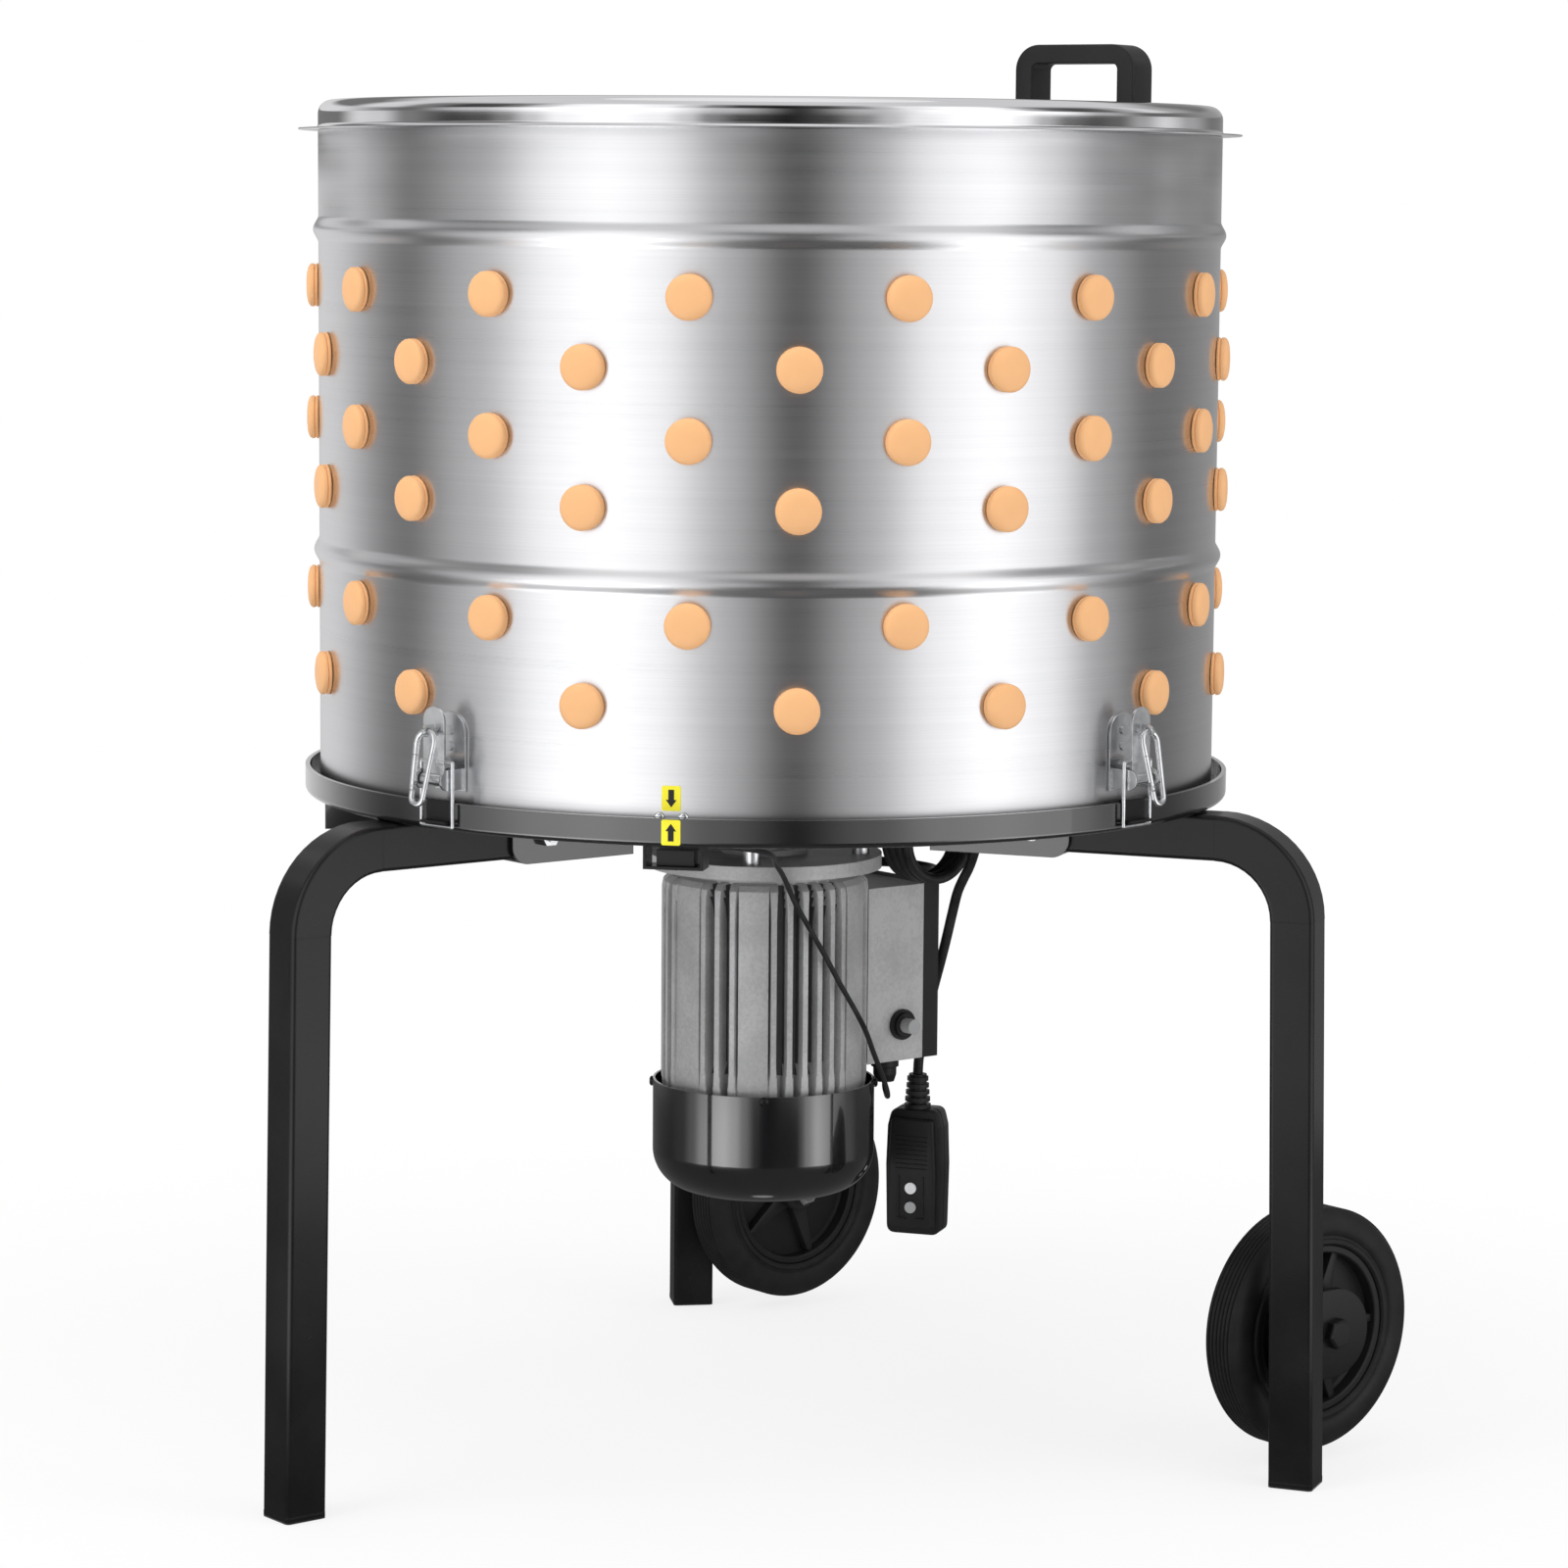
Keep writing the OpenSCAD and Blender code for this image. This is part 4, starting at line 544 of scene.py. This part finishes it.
def makeMotorBody(m=motorShape):
    # each level: height, share of the fins' full reach, swell
    levels = [(0, 0, 0.0), (1, 0.9, 0.9), (12, 1, 0.85), (20, 1, 0.45), (28, 1, 0.0), (60, 1, 0.0), (124, 1, 0.0),
              (134, 1, 0.15), (140, 1, 0.4), (145, 0.92, 0.7), (148.5, 0.55, 1.0), (149.5, 0, 1.0),
              (m["top"] - m["low"], 0, 1.0)]
    columns = m["columns"]
    verts, faces = [], []
    for height, share, swell in levels:
        for i in range(columns):
            az = i * 360 / columns
            r = m["core"] + (m["fin"] - m["core"]) * share * finReach(az, swell)
            verts.append(outward(az, r, 0, m["low"] + height))
    for k in range(len(levels) - 1):
        for i in range(columns):
            j = (i + 1) % columns
            a, b = k * columns, (k + 1) * columns
            faces.append((a + j, a + i, b + i, b + j))
    faces.append(tuple(range(columns)))
    faces.append(tuple(reversed(range((len(levels) - 1) * columns, len(levels) * columns))))
    obj = addObject("motorBody", verts, faces, split=32)
    # painted shade: faces in the hollows between the fins get a much darker grey finish, apart from a few rows at each
    # end
    obj.data.materials.append(finishes["cast_aluminium"])
    obj.data.materials.append(finishes["cast_painted_shade"])
    for k in range(m["unshadedEndRows"], len(levels) - m["unshadedEndRows"]):
        for i in range(columns):
            if finReach((i + 0.5) * 360 / columns, levels[k][2]) < m["paintedShadeBelow"]:
                obj.data.polygons[k * columns + i].material_index = 1
    return obj


motorBody = makeMotorBody()
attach(motorBody, "base")
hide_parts("motor_body")
print("motor body made")


# tyres: ribbed tread and stepped side walls
tyreShape = {"radius": 82.0, "seat": 57.1, "drawn": 79.0, "centre": (280.86, 244.5, 90), "facets": 144,
             "ribs": (-10.5, -7, -3.5, 0, 3.5, 7, 10.5)}


def tyreProfile(t=tyreShape):
    # drawn for a 79 mm radius, then grown outward from the seat
    side = [(57.1, 13.6), (58.2, 15.0), (60.4, 15.2), (61.2, 14.1), (62.6, 13.9), (63.4, 14.9), (66, 15.8),
            (69.5, 16.0), (73, 15.5), (75.8, 14.2), (77.6, 12.6), (78.3, 11.8)]
    tread = []
    for c in reversed(t["ribs"]):
        tread += [(77.5, c + 1.5), (78.6, c + 1.15), (79, c + 0.6), (79, c - 0.6), (78.6, c - 1.15), (77.5, c - 1.5)]
    other = [(r, -w) for r, w in reversed(side)]
    grow = (t["radius"] - t["seat"]) / (t["drawn"] - t["seat"])
    return [((t["seat"] + (r - t["seat"]) * grow) * mm, w * mm) for r, w in side + tread + other]


for sign, tag in ((1, "right"), (-1, "left")):
    verts, faces = turned(tyreProfile(), tyreShape["facets"])
    cx, cy, cz = tyreShape["centre"]
    turn = Matrix.Translation(onAxis(sign * cx, cy, cz)) @ Matrix.Rotation(math.radians(90), 4, "Y")
    obj = addObject("tyre_" + tag + "_ribbed", [turn @ Vector(v) for v in verts], faces, split=38)
    finishPiece(obj, "wheel_" + tag, "tyre_rubber", "tyre_" + tag)
print("tyres made")


# alignment marks: yellow plates with plain dark arrows
# each plate: radius, foot, height, way of its arrow, sideways shift
markShape = {"azimuth": 40.6, "width": 12.0, "thick": 0.4, "corner": 0.8, "inkGap": 0.02, "ink": 0.12,
             "plates": [(300.02, 464.5, 15.6, -1, 0), (310.02, 444.5, 15.8, 1, 2)]}


def makeMarks(m=markShape):
    plates, arrows = ([], []), ([], [])

    def wall(target, outline, low, high, z):
        # thin flat plate standing on the drum's tangent
        base = len(target[0])
        count = len(outline)
        for r in (low, high):
            target[0].extend(outward(m["azimuth"], r, s, z + h) for s, h in outline)
        target[1].append(tuple(base + count + i for i in range(count)))
        target[1].append(tuple(base + i for i in reversed(range(count))))
        target[1].extend((base + i, base + (i + 1) % count, base + count + (i + 1) % count, base + count + i)
                         for i in range(count))

    for r, z, h, way, side in m["plates"]:
        half, c, face = m["width"] / 2, m["corner"], r + m["thick"]
        outline = [(-half + c, 0), (half - c, 0), (half, c), (half, h - c), (half - c, h), (-half + c, h),
                   (-half, h - c), (-half, c)]
        wall(plates, [(x + side, y) for x, y in outline], r, face, z)
        arrow = [(-1.8, -5.4), (1.8, -5.4), (1.8, 0.9), (3.4, 0.9), (0, 5.5), (-3.4, 0.9), (-1.8, 0.9)]
        shape = [(side + s * way, h / 2 + way * a) for s, a in arrow]
        wall(arrows, shape, face + m["inkGap"], face + m["ink"], z)
    finishPiece(addObject("markPlates", *plates, smooth=False), "base", "yellow_mark", "alignment_marks")
    finishPiece(addObject("markArrows", *arrows, smooth=False), "base", "black_plastic")


makeMarks()
print("marks made")


# plug: tapered case with a raised front, a pocket round the buttons and grip lines
# front: low, high, half width below, half width above; widest and gripFrom are shares of a height
plugShape = {"place": (18.3, 122, 124), "azimuth": 33, "width": 40.0, "height": 88.0, "depth": 28.0, "shoulder": 12,
             "widest": 0.55, "front": (4, 82, 17, 15.2), "gripLines": 8, "gripHalf": 11.5, "gripFrom": 0.53,
             "gripPitch": 3.2, "gripTall": 1.1, "gripRise": 0.4, "pocketHalf": 9.6, "pocketRise": 0.8}


def roundedOutline(points, radius, steps=5):
    # rounds the corners of a closed 2-D outline
    out = []
    count = len(points)
    for i in range(count):
        p, a, b = Vector(points[i]), Vector(points[i - 1]), Vector(points[(i + 1) % count])
        da, db = (a - p).normalized(), (b - p).normalized()
        turn = math.acos(max(-1, min(1, da.dot(db))))
        reach = min(radius / math.tan(turn / 2), (a - p).length / 2.05, (b - p).length / 2.05)
        first, last = p + da * reach, p + db * reach
        for k in range(steps + 1):
            s = k / steps
            out.append((1 - s) ** 2 * first + 2 * s * (1 - s) * p + s * s * last)
    return out


def stackOutlines(rings):
    # rings of equal length joined into one closed solid; each is a list of points
    count = len(rings[0])
    verts = [p for ring in rings for p in ring]
    faces = [tuple(reversed(range(count)))]
    for k in range(len(rings) - 1):
        for i in range(count):
            j = (i + 1) % count
            a, b = k * count, (k + 1) * count
            faces.append((a + i, a + j, b + j, b + i))
    faces.append(tuple(range((len(rings) - 1) * count, len(rings) * count)))
    return verts, faces


def mirrored(right):
    # closed outline from its right half, which runs from the bottom up
    return [(-right[0][0], right[0][1])] + right + [(-x, y) for x, y in reversed(right[1:])]


def makePlug(p=plugShape):
    place = Matrix.Translation(onAxis(*p["place"])) @ outwardTurn(p["azimuth"])
    half, h, d = p["width"] / 2, p["height"], p["depth"] / 2

    def at(out, x, z):
        # out is the distance from the plug's middle toward its front
        return place @ (Vector((out, x, z)) * mm)

    def ring(inset, out):
        # shell outline, narrower at its top
        right = [(half - 1 - inset, inset), (half - inset, h * p["widest"]), (half - 1 - inset, h - p["shoulder"]),
                 (half - 4 - inset, h - inset)]
        return [at(out, q.x, q.y) for q in roundedOutline(mirrored(right), 6)]

    def front(inset, out):
        # outline of the raised front
        low, high, wide, narrow = p["front"]
        right = [(wide - inset, low + inset), (wide - inset, low + (high - low) * p["widest"]),
                 (narrow - inset, high - inset)]
        return [at(out, q.x, q.y) for q in roundedOutline(mirrored(right), 3)]

    lines = ([], [])

    def bar(s0, s1, z0, z1, rise, edge=0.3):
        # low ridge on the front face
        base = len(lines[0])
        lines[0].extend(at(d - 0.05, s, z) for s, z in ((s0, z0), (s1, z0), (s1, z1), (s0, z1)))
        s0, s1, z0, z1 = s0 + edge, s1 - edge, z0 + edge, z1 - edge
        lines[0].extend(at(d + rise, s, z) for s, z in ((s0, z0), (s1, z0), (s1, z1), (s0, z1)))
        for i in range(4):
            lines[1].append((base + i, base + (i + 1) % 4, base + 4 + (i + 1) % 4, base + 4 + i))
        lines[1].append((base + 4, base + 5, base + 6, base + 7))

    shell = stackOutlines([ring(1.6, -d), ring(0.5, -d + 0.7), ring(0, -d + 2), ring(0, -1.2), ring(0.9, -0.7),
                           ring(0.9, 0.3), ring(0, 0.8), ring(0, d - 6.2), ring(0.6, d - 5.0), ring(2.2, d - 4.4)])
    finishPiece(addObject("plugShell", *shell, split=40), "base", "black_plastic", "plug_case")
    raised = stackOutlines([front(0, d - 4.5), front(0, d - 1.2), front(0.8, d - 0.3), front(2.0, d)])
    finishPiece(addObject("plugFront", *raised, split=40), "base", "black_plastic")
    for k in range(p["gripLines"]):
        low = h * p["gripFrom"] + k * p["gripPitch"]
        bar(-p["gripHalf"], p["gripHalf"], low, low + p["gripTall"], p["gripRise"])
    # pocket round the two buttons: an upright each side and a bracket below
    for side in (-1, 1):
        for inner, low, high in ((8.2, 13, 42), (3.5, 11.2, 12.6)):
            bar(*sorted((side * p["pocketHalf"], side * inner)), low, high, p["pocketRise"])
    finishPiece(addObject("plugGripLines", *lines, smooth=False), "base", "black_plastic")


makePlug()
print("plug made")


# lid handle: moulded strap with rounded edges
handleShape = {"azimuth": 112, "centre": 231.0, "base": 901.2, "length": 84.0, "height": 37.0, "width": 28.0,
               "strap": 12.0, "corner": 16.0, "edge": 1.2}


def makeHandle(s=handleShape):
    # the strap's section is swept along a square loop with round corners, standing on a radius of the lid
    t, c = s["strap"], s["corner"] - s["strap"] / 2
    x, top = s["length"] / 2 - t / 2, s["height"] - t / 2

    def bend(cx, start, steps=10):
        # quarter turn, with the section's angle at each point
        bow = arcPoints(cx, top - c, c, start, start - 90, steps)
        return [(px, pz, start - 90 * i / steps) for i, (px, pz) in enumerate(bow)]

    path = [(-x, 0.0, 180), (-x, top - c, 180)] + bend(-x + c, 180)[1:] + bend(x - c, 90) + [(x, 0.0, 0)]
    u, v = t / 2, s["width"] / 2
    section = roundedOutline([(-u, -v), (u, -v), (u, v), (-u, v)], s["edge"], 4)
    place = Matrix.Translation(outward(s["azimuth"], s["centre"], 0, s["base"])) @ outwardTurn(s["azimuth"])
    rings = []
    for px, pz, a in path:
        ca, sa = math.cos(math.radians(a)), math.sin(math.radians(a))
        rings.append([place @ (Vector((px + q.x * ca, q.y, pz + q.x * sa)) * mm) for q in section])
    verts, faces = stackOutlines(rings)
    return addObject("lidHandle", verts, [tuple(reversed(f)) for f in faces], split=40)


finishPiece(makeHandle(), "lid", "black_plastic", "lid_handle")
print("handle made")


# wheel hubs: rim ring, thin web, long boss and five tapered spokes on each face
hubShape = {"spokes": 5, "spokeFrom": 13.5, "spokeTo": 52.2, "wide": 6.5, "narrow": 2.6, "web": 2.5, "high": 9.5,
            "turn": 18, "facets": 96}


def hubProfile():
    pts = [(6.05, -19), (13.8, -19), (15, -17.8), (15, -4), (17, -2.5), (49.5, -2.5), (51.3, -4.2), (51.7, -12.2),
           (52.6, -13), (56.2, -13), (56.95, -12.2), (56.95, 12.2), (56.2, 13), (52.6, 13), (51.7, 12.2), (51.3, 4.2),
           (49.5, 2.5), (17, 2.5), (15, 4), (15, 20), (13.8, 21.2), (6.05, 21.2)]
    return [(r * mm, z * mm) for r, z in pts]


def hubSpokes(h=hubShape):
    verts, faces = [], []
    for k in range(h["spokes"]):
        for side in (-1, 1):
            turn = Matrix.Rotation(math.radians(k * 360 / h["spokes"] + h["turn"]), 4, "Z")
            rings = []
            for z, inset in ((h["web"] - 0.4, -0.6), (h["high"] - 1.2, 0.0), (h["high"] - 0.3, 0.3), (h["high"], 1.0)):
                a, b = h["wide"] - inset, h["narrow"] - inset * 0.7
                ring = [(h["spokeFrom"], -a), (h["spokeTo"], -b), (h["spokeTo"], b), (h["spokeFrom"], a)]
                rings.append([turn @ (Vector((x, y, side * z)) * mm) for x, y in ring])
            v, f = stackOutlines(rings)
            base = len(verts)
            verts += v
            faces += [tuple(base + i for i in (q if side > 0 else reversed(q))) for q in f]
    return verts, faces


for sign, tag in ((1, "right"), (-1, "left")):
    cx, cy, cz = tyreShape["centre"]
    turn = Matrix.Translation(onAxis(sign * cx, cy, cz)) @ Matrix.Rotation(math.radians(sign * 90), 4, "Y")
    verts, faces = turned(hubProfile(), hubShape["facets"])
    hub = addObject("hub_" + tag + "_disc", [turn @ Vector(v) for v in verts], faces, split=38)
    finishPiece(hub, "wheel_" + tag, "black_plastic", "hub_" + tag)
    verts, faces = hubSpokes()
    spokes = addObject("hub_" + tag + "_spokes", [turn @ Vector(v) for v in verts], faces, split=38)
    finishPiece(spokes, "wheel_" + tag, "black_plastic")
print("hubs made")


# screws with dark crosses painted on as the shade of their cross recesses: black ones on the cowl and the box, bright
# ones at the marks
screwShape = {"head": 3.4, "tall": 2.4, "facets": 20, "arm": 1.9, "armHalf": 0.55, "crossHeight": 2.352}
cowlScrews = {"azimuths": (-38, 52, 142, 232), "radius": 75.5, "height": 241.0}
boxScrews = {"half": 37.0, "face": 117.5, "heights": (260.0, 367.0)}
guideScrews = {"azimuths": (39.15, 42.05), "radius": 300.0, "height": 460.5}


def screwHead(q=screwShape):
    # domed head standing on +Z
    r, h = q["head"], q["tall"]
    profile = [(r, 0.1), (r, h * 0.35), (r * 0.93, h * 0.62), (r * 0.74, h * 0.86), (r * 0.45, h * 0.98), (0, h)]
    return turned([(a * mm, b * mm) for a, b in profile], q["facets"], closed=False)


def screwCross(q=screwShape):
    # two flat dark bars across the dome, painted shade in place of the cross recess; its crown covers their middle
    a, b = q["arm"], q["armHalf"]
    verts, faces = [], []
    for turn in (0, 90):
        c, s = math.cos(math.radians(turn)), math.sin(math.radians(turn))
        faces.append(tuple(range(len(verts), len(verts) + 4)))
        verts += [((x * c - y * s) * mm, (x * s + y * c) * mm, q["crossHeight"] * mm)
                  for x, y in ((-a, -b), (a, -b), (a, b), (-a, b))]
    return verts, faces


def outwardScrews(f):
    lie = Matrix.Rotation(math.radians(90), 4, "Y")
    return [Matrix.Translation(outward(a, f["radius"], 0, f["height"])) @ outwardTurn(a) @ lie for a in f["azimuths"]]


darkPlaces = outwardScrews(cowlScrews)
darkPlaces += [Matrix.Translation(onAxis(x, boxScrews["face"], z)) @ Matrix.Rotation(math.radians(-90), 4, "X")
               for x in (-boxScrews["half"], boxScrews["half"]) for z in boxScrews["heights"]]
brightPlaces = outwardScrews(guideScrews)
guideHeads, coverHeads = copiesOf(*screwHead(), brightPlaces), copiesOf(*screwHead(), darkPlaces)
# dark bars painted on the heads as the shade of their cross recesses
crosses = copiesOf(*screwCross(), darkPlaces + brightPlaces)
finishPiece(addObject("guideScrews", *guideHeads, split=50), "base", "zinc", "small_screws")
finishPiece(addObject("coverScrews", *coverHeads, split=50), "base", "black_paint")
finishPiece(addObject("crossRecessShade", *crosses, smooth=False), "base", "black_plastic")


# axle bolts: black hex heads outside, bright nuts on the inner ends
# head and nut: seat, height, half the width across flats
axleShape = {"head": (308.47, 6.0, 9.0), "nut": (261.26, 7.0, 9.0), "chamfer": 1.2, "tilt": 10, "shank": 6.0,
             "end": 251.86, "facets": 32}


def hexPrism(x0, x1, flatsHalf, a=axleShape):
    r, chamfer = flatsHalf / math.cos(math.radians(30)), a["chamfer"]
    angles = [math.radians(60 * k + a["tilt"]) for k in range(6)]

    def ring(x, radius):
        return [Vector((x, radius * math.cos(q), radius * math.sin(q))) * mm for q in angles]

    return stackOutlines([ring(x0, r), ring(x1 - chamfer, r), ring(x1, r - chamfer * 1.3)])


def axleParts(a=axleShape):
    x, tall, half = a["head"]
    head = hexPrism(x, x + tall, half)
    nx, deep, nutHalf = a["nut"]
    nutVerts, nutFaces = hexPrism(-nx, -nx + deep, nutHalf)
    nut = ([Vector((-v.x, v.y, v.z)) for v in nutVerts], [tuple(reversed(f)) for f in nutFaces])
    r, end = a["shank"], a["end"]
    profile = [(0, end), (r - 1, end), (r, end + 1), (r, x)]
    shankVerts, shankFaces = turned([(q * mm, z * mm) for q, z in profile], a["facets"], closed=False)
    lie = Matrix.Rotation(math.radians(90), 4, "Y")
    return head, nut, ([lie @ Vector(v) for v in shankVerts], shankFaces)


def bothSides(shape):
    # the same piece on the right wheel and mirrored on the left
    verts, faces = shape
    centre = onAxis(0, *tyreShape["centre"][1:])
    right = [Vector(v) + centre for v in verts]
    left = [Vector((-v[0], v[1], v[2])) + centre for v in verts]
    return right + left, faces + [tuple(len(verts) + i for i in reversed(f)) for f in faces]


boltHead, boltNut, boltShank = axleParts()
finishPiece(addObject("axleHeads", *bothSides(boltHead), split=30), "base", "black_paint", "axle_bolts")
finishPiece(addObject("axleNuts", *bothSides(boltNut), split=30), "base", "zinc")
finishPiece(addObject("axleShanks", *bothSides(boltShank), split=30), "base", "zinc")
print("screws and bolts made")


# studio: floor, white surround, one ring of soft boxes for the steel to mirror, soft lamps
# each lamp: name, azimuth from the camera, elevation, distance, size, watts
studio = {"surround": 0.62, "floorHalf": 8, "floorDrop": 0.0005, "fadeFrom": 0.5, "fadeTo": 1.1, "fadeLeast": 0.8,
          "lampAim": 0.5, "ringSteps": 360, "blueCast": 1.01,
          "lamps": [("keyLamp", -52, 44, 3.0, 1.6, 34), ("fillLamp", 62, 34, 3.2, 1.8, 20),
                    ("topLamp", 10, 82, 3.0, 2.2, 22)]}
# what the steel mirrors, as levels by azimuth from the camera:
# one run for the drum, one for the lid's wall, one low down for the motor's cowl, plain ones below and above
drumStops = [(-180, 0.6), (-130, 0.8), (-92, 0.17), (-70, 0.66), (-48, 1.44), (-36, 1.6), (-24, 1.38), (-10, 0.66),
             (6, 0.05), (22, 0.60), (38, 1.36), (52, 1.6), (66, 1.32), (82, 0.5), (100, 0.15), (136, 0.32), (180, 0.6)]
lidStops = [(-180, 0.45), (-150, 0.2), (-128, 0.2), (-113, 0.82), (-103, 0.77), (-92, 0.25), (-76, 0.06), (-67, 0.09),
            (-61, 0.25), (-54, 0.72), (-47, 1.2), (-36, 1.4), (-24, 1.15), (-18, 0.75), (-13, 0.26), (-6, 0.05),
            (3, 0.015), (12, 0.06), (20, 0.27), (26, 0.63), (32, 1.05), (44, 1.4), (52, 1.4), (57, 1.12), (63, 0.52),
            (70, 0.15), (78, 0.08), (86, 0.14), (95, 0.45), (105, 0.83), (118, 0.44), (136, 0.2), (180, 0.45)]
cowlStops = [(-180, 0.1), (-110, 0.08), (-90, 0.18), (-76, 0.63), (-64, 1.85), (-52, 3.2), (-40, 3.6), (-29, 2.65),
             (-19, 1.2), (-8, 0.15), (0, 0.02), (34, 0.02), (38, 0.4), (45, 1.5), (56, 2.85), (69, 2.0), (82, 0.9),
             (96, 0.35), (113, 0.1), (136, 0.06), (180, 0.1)]
floorStops = [(-180, 0.1), (180, 0.1)]
skyStops = [(-180, 0.75), (180, 0.75)]
# each row of the ring: radius, height, levels
ringRows = [(0.02, 0.001, floorStops), (0.72, 0.001, floorStops), (0.86, 0.001, cowlStops), (1.25, 0.002, cowlStops),
            (1.25, 0.02, cowlStops), (1.25, 0.03, drumStops), (1.25, 0.862, drumStops), (1.25, 0.872, lidStops),
            (1.25, 0.955, lidStops), (1.25, 0.965, drumStops), (1.25, 1.15, drumStops), (1.25, 1.25, lidStops),
            (1.25, 1.6, lidStops), (1.25, 1.95, skyStops), (1.25, 4.0, skyStops)]


def makeWorld(level):
    world = bpy.data.worlds.new("surround")
    bpy.context.scene.world = world
    world.use_nodes = True
    tree = world.node_tree
    tree.nodes.clear()
    path = addNode(tree, "ShaderNodeLightPath")
    # full white where it is seen, mirrored or looked through, the lower level where it only lights
    seen = combine(tree, "MAXIMUM", path.outputs["Is Camera Ray"], path.outputs["Is Glossy Ray"])
    shown = combine(tree, "MAXIMUM", seen, path.outputs["Is Transmission Ray"])
    strength = span(tree, shown, level, 1.0)
    back = addNode(tree, "ShaderNodeBackground")
    back.inputs["Color"].default_value = (1, 1, 1, 1)
    tree.links.new(strength, back.inputs["Strength"])
    out = addNode(tree, "ShaderNodeOutputWorld")
    tree.links.new(back.outputs[0], out.inputs["Surface"])


def makeFloor(s):
    h = s["floorHalf"]
    floor = addObject("floor", [(-h, -h, 0), (h, -h, 0), (h, h, 0), (-h, h, 0)], [(0, 1, 2, 3)], smooth=False)
    floor.location.z = -s["floorDrop"]
    mat, tree, shader = startMaterial("paleFloor", (0.93, 0.93, 0.93), 0.0, 0.9)
    shader.inputs["Specular IOR Level"].default_value = 0.1
    # the floor fades into the white surround away from the machine
    geo = addNode(tree, "ShaderNodeNewGeometry")
    dist = addNode(tree, "ShaderNodeVectorMath", operation="LENGTH")
    tree.links.new(geo.outputs["Position"], dist.inputs[0])
    fade = addNode(tree, "ShaderNodeMapRange", interpolation_type="SMOOTHSTEP")
    fade.inputs["From Min"].default_value = s["fadeFrom"]
    fade.inputs["From Max"].default_value = s["fadeTo"]
    fade.inputs["To Min"].default_value = s["fadeLeast"]
    tree.links.new(dist.outputs["Value"], fade.inputs["Value"])
    glow = addNode(tree, "ShaderNodeEmission")
    mix = addNode(tree, "ShaderNodeMixShader")
    tree.links.new(fade.outputs["Result"], mix.inputs["Fac"])
    tree.links.new(shader.outputs[0], mix.inputs[1])
    tree.links.new(glow.outputs[0], mix.inputs[2])
    tree.links.new(mix.outputs[0], tree.nodes["Material Output"].inputs["Surface"])
    floor.data.materials.append(mat)


def ringLevel(stops, azimuth):
    for (a, la), (b, lb) in zip(stops, stops[1:]):
        if a <= azimuth <= b:
            t = (azimuth - a) / (b - a)
            return la + (lb - la) * t * t * (3 - 2 * t)
    return stops[0][1]


def makeRing(rows, s):
    # upright ring round the machine with a skirt on the floor, seen only in reflections
    steps = s["ringSteps"]
    verts, faces, levels = [], [], []
    for radius, z, stops in rows:
        for k in range(steps):
            turn = -180 + 360 * k / steps
            a = math.radians(cameraSetup["azimuth"] + turn)
            verts.append((math.sin(a) * radius, -math.cos(a) * radius + axisY, z))
            levels.append(ringLevel(stops, turn))
    for n in range(len(rows) - 1):
        for k in range(steps):
            j = (k + 1) % steps
            faces.append((n * steps + k, n * steps + j, (n + 1) * steps + j, (n + 1) * steps + k))
    ring = addObject("softBoxRing", verts, faces)
    paintLayer = ring.data.color_attributes.new("level", "FLOAT_COLOR", "POINT")
    for d, v in zip(paintLayer.data, levels):
        d.color = (v, v, v * s["blueCast"], 1)
    mat = bpy.data.materials.new("softBoxes")
    mat.use_nodes = True
    tree = mat.node_tree
    tree.nodes.clear()
    glow = addNode(tree, "ShaderNodeEmission")
    level = addNode(tree, "ShaderNodeAttribute", attribute_name="level")
    tree.links.new(level.outputs["Color"], glow.inputs["Color"])
    out = addNode(tree, "ShaderNodeOutputMaterial")
    tree.links.new(glow.outputs[0], out.inputs["Surface"])
    ring.data.materials.append(mat)
    ring.visible_camera = ring.visible_diffuse = ring.visible_shadow = ring.visible_transmission = False


def makeLamps(s):
    for name, azimuth, elevation, distance, size, watts in s["lamps"]:
        data = bpy.data.lights.new(name, "AREA")
        data.shape = "DISK"
        data.size = size
        data.energy = watts
        lamp = bpy.data.objects.new(name, data)
        a, e = math.radians(cameraSetup["azimuth"] + azimuth), math.radians(elevation)
        back = Vector((math.sin(a) * math.cos(e), -math.cos(a) * math.cos(e), math.sin(e)))
        lamp.location = Vector((0, axisY, s["lampAim"])) + back * distance
        lamp.rotation_mode = "QUATERNION"
        lamp.rotation_quaternion = (-back).to_track_quat("-Z", "Y")
        lamp.visible_glossy = False
        bpy.context.scene.collection.objects.link(lamp)


makeWorld(studio["surround"])
makeFloor(studio)
makeRing(ringRows, studio)
makeLamps(studio)
bpy.context.scene.view_settings.view_transform = "Standard"
print("studio lit")
